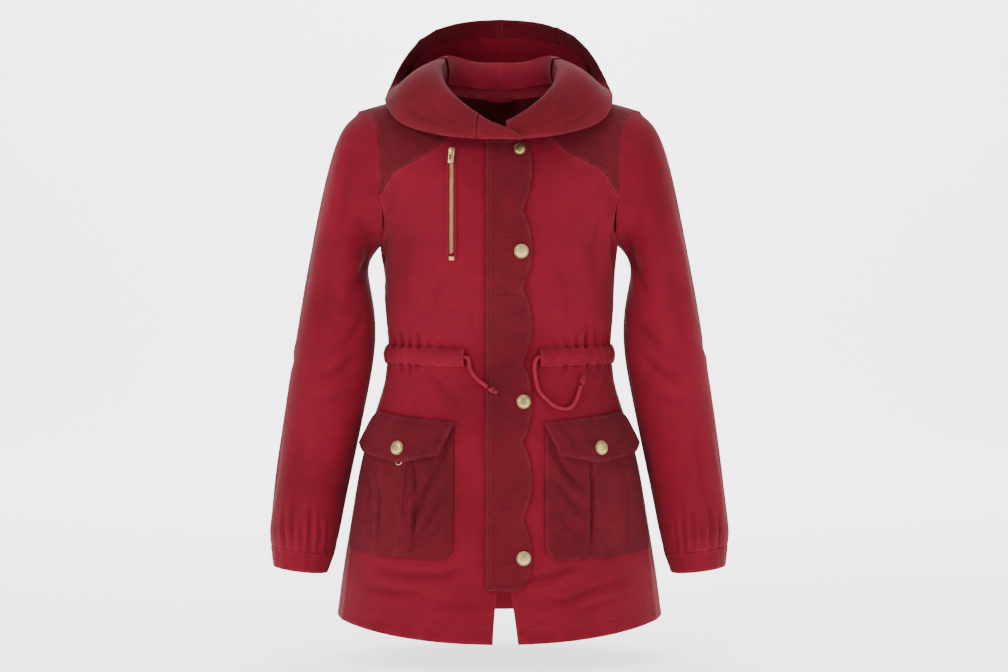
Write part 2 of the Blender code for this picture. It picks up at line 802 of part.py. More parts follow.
def front_panel(side, name, material):
    ends = front_row_ends(side)
    last = len(ends) - 1
    first_arm = [kind for _, _, kind in ends].index("arm")
    start_angle = place_at(CASING_START[side], WAIST)[0]
    sheet = Sheet()
    for i, (centre, seam, kind) in enumerate(ends):
        shares = even_shares(FRONT_COLUMNS)
        if kind == GATHERED:
            shares = gathered_shares((start_angle - centre[0]) / (seam[0] - centre[0]), FRONT_GATHERS)
        # Towards the yoke the rows take on the curve of its seam.
        near_yoke = max(0.0, (i - first_arm) / (last - first_arm)) ** 1.5
        pairs = []
        for share in shares:
            place = between(centre, seam, share)
            line, chord = yoke_place(share), between(yoke_place(0), yoke_place(1), share)
            place = place[0] + near_yoke * (line[0] - chord[0]), place[1] + near_yoke * (line[1] - chord[1])
            if kind == "hem":
                place = place[0], height_at(0, hem_level(place[0]))
            moved = place
            if share == 1:
                moved = shift(place, side, (centre[0], place[1]), HALF_GAP)
            if i == last:
                moved = shift(moved, side, (moved[0], moved[1] - 0.3), HALF_GAP)
            pairs.append(panel_pair(place, side, moved))
        sheet.add(shares, pairs)
    return sheet.solid(name, material)


def back_panel(side, name, material):
    rows, arm = seam_places()
    rows = [(hem_level(math.pi) if kind == "hem" else z, to_side, kind) for z, to_side, kind in rows]
    # Behind, the gathered rows run level.
    rows = [(height_level(p[1]) if kind == GATHERED else z, p, kind) for z, p, kind in rows]
    rows += [(z, to_back(place), "arm") for z, place in zip([*ARM_ROWS_BACK, BACK_YOKE_CENTRE], arm)]
    last = len(rows) - 1
    sheet = Sheet()
    for i, (centre_level, seam, kind) in enumerate(rows):
        centre = (math.pi, height_at(0, centre_level))
        shares = even_shares(BACK_GATHERS * POINTS_A_GATHER if kind == GATHERED else BACK_COLUMNS)
        pairs = []
        for share in shares:
            place = back_yoke_seam(share) if i == last else between(centre, seam, share)
            if kind == "hem":
                place = place[0], height_at(0, hem_level(place[0]))
            moved = place
            if share in (0, 1):
                other = seam if share == 0 else centre
                moved = shift(place, side, (other[0], place[1]), HALF_GAP)
            if i == last:
                moved = shift(moved, side, (moved[0], moved[1] - 0.3), HALF_GAP)
            pairs.append(panel_pair(place, side, moved))
        sheet.add(shares, pairs)
    return sheet.solid(name, material)


def height_level(height):
    return SHOULDER_BREAK + ROUNDING * height


def blended_place(low, top, start, end, share, rise):
    """A place inside four edges, each given as a function of 0 to 1."""
    angle, height = between(low(share), top(share), rise)
    for edge, at, weight in ((start, 0, (1 - share) ** 3), (end, 1, share**3)):
        wanted, straight = edge(rise), between(low(at), top(at), rise)
        angle += weight * (wanted[0] - straight[0])
        height += weight * (wanted[1] - straight[1])
    return angle, height


def front_yoke(side, name, material):
    sheet = Sheet()
    for i in range(YOKE_ROWS + 1):
        rise = i / YOKE_ROWS
        shares = even_shares(round(FRONT_COLUMNS + (SHOULDER_COLUMNS - FRONT_COLUMNS) * rise))
        pairs = []
        for share in shares:
            place = blended_place(
                yoke_place,
                ridge_place,
                lambda s: neck_place(YOKE_AT_NECK + (1 - YOKE_AT_NECK) * s),
                upper_armhole_place,
                share,
                rise,
            )
            pairs.append(panel_pair(place, side, yoke_clearance(place, side, i, share == 1, True)))
        sheet.add(shares, pairs)
    return sheet.solid(name, material)


def yoke_clearance(place, side, row, at_armhole, at_shoulder):
    """A yoke's place after the clearances of its lower seam, shoulder seam and armhole."""
    if row == 0:
        place = shift(place, side, (place[0], place[1] + 0.3), HALF_GAP)
    if row == YOKE_ROWS and at_shoulder:
        place = shift(place, side, (place[0], place[1] - 0.3), HALF_GAP)
    if at_armhole:
        middle = math.pi / 2 + math.copysign(1.4, place[0] - math.pi / 2)
        place = shift(place, side, (middle, place[1]), HALF_GAP)
    return place


def back_yoke_top(share):
    """The back yoke's upper edge: the neckline, then the shoulder seam."""
    neck_part = NECK_COLUMNS / (NECK_COLUMNS + SHOULDER_COLUMNS)
    if share <= neck_part:
        return back_neck_place(share / neck_part)
    return to_back(ridge_place((share - neck_part) / (1 - neck_part)))


def back_yoke(name, material):
    columns = NECK_COLUMNS + SHOULDER_COLUMNS
    sheet = Sheet()
    for i in range(YOKE_ROWS + 1):
        pairs = []
        for k in range(-columns, columns + 1):
            side = RIGHT if k < 0 else LEFT
            place = blended_place(
                back_yoke_seam,
                back_yoke_top,
                lambda s: between(back_yoke_seam(0), back_yoke_top(0), s),
                lambda s: to_back(upper_armhole_place(s)),
                abs(k) / columns,
                i / YOKE_ROWS,
            )
            moved = yoke_clearance(place, side, i, abs(k) == columns, abs(k) >= NECK_COLUMNS)
            pairs.append(panel_pair(place, side, moved))
        sheet.add(even_shares(2 * columns), pairs)
    return sheet.solid(name, material)


# ---------------------------------------------------------------- sleeves and cuffs

def ring_pairs(ring, turns, side, waves=None):
    """A ring's (outer, inner) points; waves gives how far each stands out."""
    centre = (ring_point(ring, 0, side) + ring_point(ring, math.pi, side)) / 2
    pairs = []
    for k, turn in enumerate(turns):
        point = ring_point(ring, turn, side)
        out = unit(point - centre)
        swell = waves[k] if waves else 0.0
        pairs.append((point + out * swell, point + out * (swell - WALL)))
    return pairs


def cuff_waves(turns, strength=1.0):
    return [CUFF_GATHER_DEPTH * strength * (1 - math.cos(t * CUFF_GATHERS)) / 2 for t in turns]


def cuff_shares():
    return even_shares(CUFF_GATHERS * POINTS_A_GATHER)[:-1]


def sleeve(side, name, material):
    places = armhole_loop()
    mitres = [MITRES[side][key_of(p)] for p in places]
    turns = sleeve_turns()
    shares = even_shares(len(places))[:-1]
    first = [ring_point(SLEEVE_RINGS[0], t, side) for t in turns]
    start = [torso(*p, side) for p in places]
    start = [p + unit(q - p) * GAP for p, q in zip(start, first)]
    sheet = Sheet(closed=True)
    sheet.add(shares, [(p, p - m * WALL) for p, m in zip(start, mitres)])
    plain = len(SLEEVE_RINGS) - GATHERED_SLEEVE_RINGS
    for i, ring in enumerate(SLEEVE_RINGS):
        if i < plain:
            blend = smoothstep(i / 5)
            row = [a * (1 - blend) + 2 * math.pi * b * blend for a, b in zip(turns, shares)]
            sheet.add(shares, ring_pairs(ring, row, side))
        else:
            row = [2 * math.pi * s for s in cuff_shares()]
            strength = (i - plain + 1) / GATHERED_SLEEVE_RINGS
            sheet.add(cuff_shares(), ring_pairs(ring, row, side, cuff_waves(row, strength)))
    return sheet.solid(name, material)


def cuff(side, name, material):
    """The turned-up end of the sleeve, gathered on elastic."""
    turns = [2 * math.pi * s for s in cuff_shares()]
    sheet = Sheet(closed=True)
    for ring in CUFF_RINGS:
        sheet.add(cuff_shares(), ring_pairs(ring, turns, side, cuff_waves(turns)))
    return sheet.solid(name, material)


# ---------------------------------------------------------------- hood

def along_curve(points, place):
    """A point of the smooth curve through the points; place 0 is the first, 1 the second and so on."""
    points = np.array(points, float)
    lengths = np.concatenate([[0], np.cumsum(np.linalg.norm(np.diff(points, axis=0), axis=1))])
    slopes = np.gradient(points, lengths, axis=0)
    i = min(int(place), len(points) - 2)
    t, span = place - i, lengths[i + 1] - lengths[i]
    return (
        points[i] * (2 * t**3 - 3 * t**2 + 1)
        + slopes[i] * span * (t**3 - 2 * t**2 + t)
        + points[i + 1] * (3 * t**2 - 2 * t**3)
        + slopes[i + 1] * span * (t**3 - t**2)
    )


def neck_point(turn, side):
    """The neck seam's point at a turn round the neck."""
    points = np.array([torso(*p, side) for p in neck_loop(side)])
    turns = [turn_of(p) for p in points]
    radius = np.interp(turn, turns, [math.hypot(p[0], p[1]) for p in points])
    return radius, np.interp(turn, turns, points[:, 2])


def hood_point(turn, place, side):
    """A point of the hood's underside: place 0 at the neck seam, 1 on the crest, 7 at the brim."""
    folded = min(turn, 2 * math.pi - turn)
    section = [neck_point(folded, side), *hood_section(turn)]
    return round_neck(side, turn, *along_curve(section, place))


def surface_normal(point_at, turn, place, side, last=7):
    """Normal of a surface given as a function of turn and place, away from the face that shows."""
    low, high = max(place - 0.05, 0), min(place + 0.05, last)
    across = point_at(turn + 0.02, place, side) - point_at(turn - 0.02, place, side)
    outward = point_at(turn, high, side) - point_at(turn, low, side)
    return unit(np.cross(across, outward)) * side


def hood_pair(turn, place, side, lift=0.0, wall=WALL):
    """(under, upper) points of a layer of the hood; lift is the layer's distance above its underside."""
    point, normal = hood_point(turn, place, side), surface_normal(hood_point, turn, place, side)
    return point - normal * lift, point - normal * (lift + wall)


def neck_seam_pair(place, side, toward):
    """(under, upper) points of the hood where it is sewn to the neckline."""
    here = torso(*place, side)
    point = here + unit(toward - here) * GAP
    return point, point - MITRES[side][key_of(place)] * WALL


def sewn_loop(side):
    """Places where half the hood is sewn to the neckline; the right half starts after the end piece."""
    return neck_loop(side)[1 if side == RIGHT else 0:]


def hood_turns(side):
    """The turns of the hood's columns above the neck seam."""
    start = turn_of(torso(*sewn_loop(side)[0], side)) + 0.003
    end = math.pi - HALF_GAP / 75
    return [start + (end - start) * s for s in even_shares(HOOD_COLUMNS)]


def hood_half(side, name, material):
    """Half the hood's shell, from its front end to the centre seam behind."""
    loop = sewn_loop(side)
    neck_turns = [turn_of(torso(*p, side)) for p in loop]
    sheet = Sheet()
    for row in HOOD_ROWS:
        if row == 0:
            turns = neck_turns
            pairs = [neck_seam_pair(p, side, hood_point(t, 0.3, side)) for p, t in zip(loop, turns)]
            pairs[-1] = tuple(p * [0, 1, 1] + np.array([side * HALF_GAP, 0, 0]) for p in pairs[-1])
        else:
            turns = hood_turns(side)
            pairs = [hood_pair(t, row, side) for t in turns]
        sheet.add([(t - turns[0]) / (turns[-1] - turns[0]) for t in turns], pairs)
    return sheet.solid(name, material)


hood_end_top = straight_table([(math.radians(row[0]), row[1]) for row in HOOD_END_TOP])


def hood_end_point(turn, place, side):
    """A point of the red end piece, which flattens as it passes over the left half."""
    top = float(hood_end_top(turn)[0])
    section = [neck_point(max(turn, 0), side), *hood_section(max(turn, 0))]
    blend = smoothstep((math.radians(HOOD_END_FROM) - turn) / math.radians(HOOD_END_FROM + 1))
    drop = max(place - 1, 0) / (HOOD_ROWS[-1] - 1)
    flat = np.array([HOOD_END_RADIUS + 2 * drop, top + (HOOD_END_BOTTOM - top) * drop])
    rolled = along_curve(section, max(place, 1)) * (1 - blend) + flat * blend
    if place < 1:
        start = rolled - HOOD_END_FOLD if turn < 0 else np.array(section[0])
        rolled = start + (rolled - start) * place
    return round_neck(side, turn, *rolled)


def hood_end(name, material):
    """The red piece that closes the throat: sewn to the neckline, then free over the left half."""
    corner, first = neck_loop(RIGHT)[:2]
    sheet = Sheet()
    for degrees in HOOD_END_TURNS:
        turn = math.radians(degrees)
        pairs = []
        for row in HOOD_ROWS:
            point = hood_end_point(turn, row, RIGHT)
            normal = surface_normal(hood_end_point, turn, max(row, 0.06), RIGHT)
            pairs.append((point, point - normal * WALL))
        if degrees > 0:
            share = (HOOD_END_FROM - degrees) / HOOD_END_FROM
            ends = [neck_seam_pair(p, RIGHT, hood_end_point(turn, 1, RIGHT)) for p in (first, corner)]
            pairs[0] = tuple(a * (1 - share) + b * share for a, b in zip(*ends))
        sheet.add([row / HOOD_ROWS[-1] for row in HOOD_ROWS], pairs)
    return sheet.solid(name, material)


lining_edge = straight_table([(math.radians(row[0]), row[1]) for row in LINING_EDGE])


def hood_lining(side, name, material):
    """Half the red lining that shows inside the hood, on the columns and rows of the shell below it."""
    sheet = Sheet()
    for turn in hood_turns(side):
        if turn < math.radians(LINING_FROM):
            continue
        edge = float(lining_edge(turn)[0])
        places = [row for row in HOOD_ROWS if LINING_START <= row < edge - 0.2] + [edge]
        pairs = []
        for place in places:
            after = next(row for row in HOOD_ROWS if row >= place)
            before = HOOD_ROWS[HOOD_ROWS.index(after) - 1]
            share = (place - before) / (after - before)
            low, high = (hood_pair(turn, row, side, WALL + GAP, LINING_WALL) for row in (before, after))
            pairs.append(tuple(a * (1 - share) + b * share for a, b in zip(low, high)))
        sheet.add([place / HOOD_ROWS[-1] for place in places], pairs)
    return sheet.solid(name, material)


# ---------------------------------------------------------------- pieces that lie on the torso

def flat_pair(place, side, lift, wall):
    """(outer, inner) points of a layer whose underside stands `lift` off the torso's form."""
    return lifted(place, side, lift + wall), lifted(place, side, lift)


def signed_place(x, z):
    """(place, side) of a point at x, which may lie on either side of the centre line."""
    return place_at(abs(x), z), RIGHT if x < 0 else LEFT


def placket_edge(z):
    """X of the placket's scalloped edge at a level."""
    notches = SCALLOP_NOTCHES
    i = next((k for k in range(len(notches) - 1) if notches[k] >= z >= notches[k + 1]), 0)
    share = (notches[i] - z) / (notches[i] - notches[i + 1])
    corner = float(straight_table(PLACKET_CORNERS)(z)[0])
    return min(PLACKET_VALLEY + PLACKET_SCALLOP * abs(math.sin(math.pi * share)) ** 0.8, corner)


def placket_levels():
    """Levels of the placket's rows: closer together at the notches and the ends."""
    levels = [PLACKET_TOP, -79, -84, -92, -104, -120, -138, -154, -162]
    for top, bottom in zip(SCALLOP_NOTCHES[1:-2], SCALLOP_NOTCHES[2:-1]):
        levels += [top + (bottom - top) * s for s in (0, 0.06, 0.2, 0.42, 0.66, 0.86)]
    return levels + [SCALLOP_NOTCHES[-2], -563, -578, -600, -620, -632, -640, PLACKET_BOTTOM]


def placket(name, material):
    sheet = Sheet()
    for z in placket_levels():
        edge = placket_edge(z)
        xs = [PLACKET_LEFT + (edge - PLACKET_LEFT) * s for s in (0, 0.36, 0.72, 1)]
        sheet.add(
            [0, 0.36, 0.72, 1],
            [flat_pair(*signed_place(x, z), PLACKET_LIFT, PLACKET_WALL) for x in xs],
        )
    return sheet.solid(name, material)


def strip(name, material, xs, levels, lift, wall):
    """A narrow strip down the torso, such as a zip's tape or chain."""
    sheet = Sheet()
    for z in levels:
        shares = [(x - xs[0]) / (xs[-1] - xs[0]) for x in xs]
        sheet.add(shares, [flat_pair(*signed_place(x, z), lift, wall) for x in xs])
    return sheet.solid(name, material)


def casing_rows(gathers, side, start=math.pi, open_end=False):
    """The casing's rows of (outer, inner) points, from the angle `start` to the side seam."""
    rows = []
    clear = math.copysign(HALF_GAP / 100, start - math.pi / 2)
    for offset, lift in CASING_ROWS:
        seam = math.radians(float(side_seam_angle(WAIST + offset)[0])) + clear
        pairs = []
        for k, share in enumerate(even_shares(gathers * POINTS_A_GATHER)):
            angle = start + (seam - start) * share
            z = waist_level(angle) + offset
            lifts = gather_height(angle, z, side) + lift
            if abs(offset) < CASING_HALF:
                lifts += CASING_PUCKER * (k % 2)
                if open_end:
                    lifts += CASING_MOUTH * (1 - smoothstep(k / CASING_MOUTH_LENGTH))
            pairs.append(flat_pair((angle, height_at(0, z)), side, lifts, CASING_WALL))
        rows.append(pairs)
    return rows


def casing_front(side, name, material):
    """A gathered channel for the waist cord, open at its front end."""
    start = place_at(CASING_START[side], WAIST)[0]
    sheet = Sheet()
    for pairs in casing_rows(FRONT_GATHERS, side, start, True):
        sheet.add(even_shares(len(pairs) - 1), pairs)
    return sheet.solid(name, material)


def casing_back(name, material):
    sheet = Sheet()
    for right, left in zip(casing_rows(BACK_GATHERS, RIGHT), casing_rows(BACK_GATHERS, LEFT)):
        pairs = right[::-1] + left[1:]
        sheet.add(even_shares(len(pairs) - 1), pairs)
    return sheet.solid(name, material)


# ---------------------------------------------------------------- pockets and flaps

def pocket_outline(share_up):
    """(angle of the inner edge, angle of the outer edge) of the pocket at a share up from its bottom."""
    z = POCKET_BOTTOM + (POCKET_TOP - POCKET_BOTTOM) * share_up
    inner, outer = place_at(POCKET_INNER_X, z)[0], math.radians(POCKET_OUTER_ANGLE)
    above = z - POCKET_BOTTOM
    inset = 0.0
    if above < POCKET_CORNER:
        inset = POCKET_CORNER - math.sqrt(POCKET_CORNER**2 - (POCKET_CORNER - above) ** 2)
    turn = inset / torso_level(z)[0]
    return inner + turn * 1.2, outer - turn


def pocket_raise(share, share_up):
    """How far the pocket's cloth stands off at a place: its fullness and the box pleat."""
    full = POCKET_BULGE * math.sin(math.pi * min(max(share, 0), 1)) ** 0.7
    full *= math.sin(math.pi * min(share_up * 1.6 + 0.03, 0.5)) * (1 - 0.5 * share_up**4)
    pleat = PLEAT_RAISE if abs(share - PLEAT_MIDDLE) < PLEAT_HALF - 1e-6 else 0.0
    return full + pleat


def pocket_columns():
    left, right = PLEAT_MIDDLE - PLEAT_HALF, PLEAT_MIDDLE + PLEAT_HALF
    step = 0.008
    return [0, 0.1, 0.24, left, left + step, PLEAT_MIDDLE, right - step, right, 0.76, 0.9, 1]


def pocket_pair(share, share_up, side, lift=POCKET_LIFT, wall=POCKET_WALL):
    inner, outer = pocket_outline(share_up)
    angle = inner + (outer - inner) * share
    z = POCKET_BOTTOM + (POCKET_TOP - POCKET_BOTTOM) * share_up + POCKET_RISE * share * (1 - share_up)
    return flat_pair((angle, height_at(0, z)), side, lift + pocket_raise(share, share_up), wall)


def pocket(side, name, material):
    sheet = Sheet()
    for share_up in POCKET_LEVELS:
        sheet.add(pocket_columns(), [pocket_pair(s, share_up, side) for s in pocket_columns()])
    return sheet.solid(name, material)


flap_top = straight_table(FLAP_TOP_EDGE)
flap_lower = straight_table(FLAP_LOWER_EDGE)


def flap_point(share, drop, side, lift):
    """A point of the flap: drop 0 on its sewn edge, 1 on its lower edge."""
    (top_angle, top_z), (low_angle, low_z) = flap_top(share), flap_lower(share)
    angle = math.radians(top_angle + (low_angle - top_angle) * drop)
    z = top_z + (low_z - top_z) * drop
    curl = 1.2 * drop**2 * abs(2 * share - 1) ** 3
    return lifted((angle, height_at(0, z)), side, lift + curl)


def flap_lift(drop):
    return float(np.interp(drop, FLAP_ROWS, FLAP_LIFTS))


def flap(side, name, material):
    sheet = Sheet()
    for drop in FLAP_ROWS:
        lift = flap_lift(drop)
        sheet.add(
            FLAP_COLUMNS,
            [
                (flap_point(s, drop, side, lift + FLAP_WALL), flap_point(s, drop, side, lift))
                for s in FLAP_COLUMNS
            ],
        )
    return sheet.solid(name, material)


# ---------------------------------------------------------------- metal trim

def frame_at(x, z, lift):
    """(origin, right, up, out) at a point of the torso, lifted off its form."""
    place, side = signed_place(x, z)
    out = torso_normal(*place, side)
    up = unit(np.array([0, 0, 1]) - out * out[2])
    return lifted(place, side, lift), np.cross(up, out), up, out


def disc_stack(frame, profile, name, material, segments=12):
    """A turned solid on a frame: profile lists (radius, height) from its base to its top."""
    origin, right, up, out = frame
    points, faces = [], []
    for radius, height in profile:
        for k in range(segments):
            turn = 2 * math.pi * k / segments
            points.append(origin + (right * math.cos(turn) + up * math.sin(turn)) * radius + out * height)
    for i in range(len(profile) - 1):
        for k in range(segments):
            a, b = i * segments + k, i * segments + (k + 1) % segments
            faces.append([a, b, b + segments, a + segments])
    last = (len(profile) - 1) * segments
    faces.append(list(range(segments))[::-1])
    faces.append(list(range(last, last + segments)))
    return make_object(name, points, faces, material)


def snap(x, z, radius, lift, name, material):
    """A snap's domed cap with a flat rim."""
    h = SNAP_HEIGHT * radius / SNAP_RADIUS
    profile = [(1, 0), (1, 0.3), (0.8, 0.42), (0.66, 0.72), (0.36, 1)]
    return disc_stack(frame_at(x, z, lift), [(radius * r, h * t) for r, t in profile], name, material)


def cell_solid(frame, across, upward, outward, cells, name, material):
    """A solid of the box cells that are filled, between cutting planes along a frame's three axes."""
    origin, right, up, out = frame
    ids, points, faces = {}, [], []

    def corner(i, j, k):
        if (i, j, k) not in ids:
            ids[i, j, k] = len(points)
            points.append(origin + right * across[i] + up * upward[j] + out * outward[k])
        return ids[i, j, k]

    for i, j, k in cells:
        for axis in range(3):
            for step in (0, 1):
                beside = [i, j, k]
                beside[axis] += 2 * step - 1
                if tuple(beside) in cells:
                    continue
                square = []
                for a, b in ((0, 0), (1, 0), (1, 1), (0, 1)):
                    spot = [i, j, k]
                    spot[axis] += step
                    spot[(axis + 1) % 3] += a
                    spot[(axis + 2) % 3] += b
                    square.append(corner(*spot))
                faces.append(square if step else square[::-1])
    return make_object(name, points, faces, material)


def chest_zip(red, brass):
    x = -CHEST_ZIP_X
    levels = [CHAIN_TOP + (CHAIN_BOTTOM - CHAIN_TOP) * s for s in even_shares(CHAIN_STEPS)]
    strip("chest_zip_chain", brass, [x - CHAIN_HALF, x + CHAIN_HALF], levels, TRIM_LIFT, CHAIN_DEPTH)
    tack = frame_at(x, sum(BAR_TACK) / 2, TRIM_LIFT)
    half = (BAR_TACK[0] - BAR_TACK[1]) / 2
    cell_solid(tack, [-BAR_TACK_HALF, BAR_TACK_HALF], [-half, half], [0, 1], {(0, 0, 0)}, "chest_zip_stop", brass)
    frame = frame_at(x, SLIDER_LEVEL, TRIM_LIFT)
    plate = {(i, j, 0) for i in range(3) for j in range(5)}
    bridge = {(1, 1, 1), (1, 3, 1), (1, 1, 2), (1, 2, 2), (1, 3, 2)}
    cell_solid(frame, SLIDER_ACROSS, SLIDER_UP, SLIDER_OUT, plate | bridge, "chest_zip_slider", brass)
    origin, right, up, out = frame
    pivot = (origin + up * PULL_PIVOT_UP + out * PULL_PIVOT_OUT, right, up, out)
    rises = [-PULL_LENGTH, -PULL_LENGTH + PULL_TAB, -PULL_BAR, PULL_BAR]
    ring = {(i, j, 0) for i in range(3) for j in range(3)} - {(1, 1, 0)}
    cell_solid(pivot, PULL_ACROSS, rises, [-PULL_BAR, PULL_BAR], ring, "chest_zip_pull", brass)


# ---------------------------------------------------------------- cords, knots, hanger loop

def cord(side, name, material):
    """One free end of the waist cord, out of its casing down to its knot."""
    path = [frame_at(x, z, lift)[0] for x, z, lift in CORDS[side]]
    curve = bpy.data.curves.new(name, "CURVE")
    curve.dimensions = "3D"
    curve.bevel_depth = CORD_DIAMETER / 2 * MM
    curve.bevel_resolution = 2
    curve.use_fill_caps = True
    spline = curve.splines.new("POLY")
    spline.points.add(len(path) - 1)
    for point, position in zip(spline.points, path):
        point.co = (*(Vector(position) * MM), 1)
    curve.materials.append(material)
    thing = bpy.data.objects.new(name, curve)
    bpy.context.scene.collection.objects.link(thing)
    return thing


def knot(side, name, material):
    x, z, lift = KNOTS[side]
    profile = [(0.35, -1), (0.85, -0.55), (1, 0), (0.85, 0.55), (0.35, 1)]
    frame = frame_at(x, z, lift)
    return disc_stack(frame, [(KNOT_RADIUS * r, KNOT_RADIUS * t) for r, t in profile], name, material, 10)


def hanger_loop(name, material):
    """A narrow strap inside the back of the neck."""
    path = [np.array(p, float) for p in HANGER]
    sheet = Sheet()
    for share in (-0.5, 0.5):
        pairs = []
        for i, p in enumerate(path):
            along = unit(path[min(i + 1, len(path) - 1)] - path[max(i - 1, 0)])
            up = np.array([0, 0, 1.0])
            out = unit(np.cross(up, along))
            edge = p + up * HANGER_WIDTH * share
            pairs.append((edge, edge - out * HANGER_WALL))
        sheet.add(even_shares(len(path) - 1), pairs)
    return sheet.solid(name, material)


# ---------------------------------------------------------------- main

def clear_scene():
    for thing in list(bpy.data.objects):
        bpy.data.objects.remove(thing, do_unlink=True)


def main():
    clear_scene()
    red = make_material("bright_red_canvas", BRIGHT_RED, 0.85)
    burgundy = make_material("burgundy_canvas", BURGUNDY, 0.85)
    brass = make_material("antique_brass", BRASS, 0.35, 1.0)
    for side, word in ((RIGHT, "right"), (LEFT, "left")):
        front_panel(side, f"front_{word}", red)
        back_panel(side, f"back_{word}", red)
        front_yoke(side, f"front_yoke_{word}", burgundy)
        sleeve(side, f"sleeve_{word}", red)
        cuff(side, f"cuff_{word}", red)
        hood_half(side, f"hood_{word}", burgundy)
        hood_lining(side, f"hood_lining_{word}", red)
        casing_front(side, f"waist_casing_front_{word}", red)
        pocket(side, f"pocket_{word}", burgundy)
        flap(side, f"pocket_flap_{word}", burgundy)
        cord(side, f"drawcord_{word}", red)
        knot(side, f"drawcord_knot_{word}", red)
        x, z, radius = FLAP_SNAP
        snap_lift = flap_lift(FLAP_SNAP_DROP) + FLAP_WALL + FLAP_SNAP_SEAT
        snap(side * x, z, radius, snap_lift, f"flap_snap_{word}", brass)
    back_yoke("back_yoke", burgundy)
    hood_end("hood_end", red)
    placket("placket", burgundy)
    casing_back("waist_casing_back", red)
    zip_xs = [FRONT_ZIP_X - FRONT_ZIP_HALF, FRONT_ZIP_X + FRONT_ZIP_HALF]
    levels = [FRONT_ZIP_TOP + (FRONT_ZIP_BOTTOM - FRONT_ZIP_TOP) * s for s in even_shares(FRONT_ZIP_STEPS)]
    strip("front_zip", red, zip_xs, levels, -WALL - TAPE_DEPTH - FRONT_ZIP_GAP, TAPE_DEPTH)
    for number, (x, z, radius) in enumerate(PLACKET_SNAPS, 1):
        snap(x, z, radius, PLACKET_LIFT + PLACKET_WALL + SNAP_SEAT, f"placket_snap_{number}", brass)
    chest_zip(red, brass)
    hanger_loop("hanger_loop", red)


if __name__ == "__main__":
    main()
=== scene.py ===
# %% [markdown]
# # A hooded canvas parka in its worn form
# The real garment is cut from two canvases, a bright crimson one for the body and sleeves and a darker
# burgundy one for the yokes, hood, placket and pockets. Its trims are brass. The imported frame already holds
# the form of each cut piece as a thin closed wall. This script dresses those walls: it rounds them into
# cloth, presses the creases in, sews the seams, hangs the trims and mixes the finishes.

import math

import bmesh
import bpy
import numpy as np
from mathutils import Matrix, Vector
from mathutils.bvhtree import BVHTree
from mathutils.kdtree import KDTree


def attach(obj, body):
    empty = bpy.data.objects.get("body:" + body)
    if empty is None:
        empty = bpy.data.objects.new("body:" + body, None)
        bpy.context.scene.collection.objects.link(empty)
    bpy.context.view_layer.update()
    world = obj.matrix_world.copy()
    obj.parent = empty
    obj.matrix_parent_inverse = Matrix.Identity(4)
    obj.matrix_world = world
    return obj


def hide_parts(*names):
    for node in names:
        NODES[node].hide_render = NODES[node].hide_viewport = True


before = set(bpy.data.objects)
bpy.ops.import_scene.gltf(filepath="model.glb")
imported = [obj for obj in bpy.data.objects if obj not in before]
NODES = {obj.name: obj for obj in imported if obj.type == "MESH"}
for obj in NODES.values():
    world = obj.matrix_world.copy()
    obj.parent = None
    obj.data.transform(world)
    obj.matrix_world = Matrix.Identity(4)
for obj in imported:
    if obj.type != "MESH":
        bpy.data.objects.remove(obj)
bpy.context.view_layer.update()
MM = 0.001

# %% [markdown]
# ## The camera
# The camera stands straight in front of the garment, a little below its chest, far enough away to keep the
# sleeves parallel. All that is given by pixel is placed through this same camera, so it comes first.

# %% Camera
PHOTO_WIDTH, PHOTO_HEIGHT = 1008, 672
CAMERA_PLACE = Vector((0.006, -2.6, -0.327))
METRES_A_PIXEL = 0.00132  # at the plane between the sleeves

camera_data = bpy.data.cameras.new("camera")
camera_data.sensor_width = 36
camera_data.lens = 36 * -CAMERA_PLACE.y / (PHOTO_WIDTH * METRES_A_PIXEL)
camera = bpy.data.objects.new("camera", camera_data)
camera.location = CAMERA_PLACE
camera.rotation_euler = (math.radians(90), 0, 0)
bpy.context.scene.collection.objects.link(camera)
bpy.context.scene.camera = camera
print("lens", round(camera_data.lens, 2))

# %% [markdown]
# ## Finding a spot on the cloth
# Creases and cords are laid by naming a spot and a side to look from. A ray from that side finds the place on
# the solids, so that whatever is placed there sits on the cloth and not in front of it.

# %% Rays onto the solids
CLOTH_STARTS = ("front_", "back_", "sleeve", "cuff", "hood", "placket", "pocket")
CLOTH_NODES = [n for n in NODES if n.startswith(CLOTH_STARTS) and "snap" not in n and n != "front_zip"]


def tree_of(names):
    """One ray-casting tree over the meshes of several solids."""
    points, faces = [], []
    for name in names:
        mesh = NODES[name].data
        start = len(points)
        points += [v.co.copy() for v in mesh.vertices]
        faces += [[start + i for i in p.vertices] for p in mesh.polygons]
    return BVHTree.FromPolygons(points, faces)


cloth_tree = tree_of(CLOTH_NODES)
panel_tree = tree_of(["front_left", "front_right", "front_yoke_left", "front_yoke_right"])
SIDES = {"back": (Vector((0, 1, 0)), 0), "left": (Vector((1, 0, 0)), 1), "right": (Vector((-1, 0, 0)), 1),
         "front": (Vector((0, -1, 0)), 0)}


def spot(side, a, b, tree=cloth_tree):
    """(place, normal) on the cloth: photo takes a pixel, the other sides take millimetres across and up."""
    if side == "photo":
        aim = Vector(((a - PHOTO_WIDTH / 2) * METRES_A_PIXEL, -CAMERA_PLACE.y,
                      (PHOTO_HEIGHT / 2 - b) * METRES_A_PIXEL))
        place, normal, _, _ = tree.ray_cast(CAMERA_PLACE, aim.normalized())
    else:
        out, across = SIDES[side]
        start = out * 2 + Vector(((a * MM, 0, b * MM) if across == 0 else (0, a * MM, b * MM)))
        place, normal, _, _ = tree.ray_cast(start, -out)
    return (place, normal) if place else (None, None)


print("middle of the chest", spot("front", -90, -250)[0])
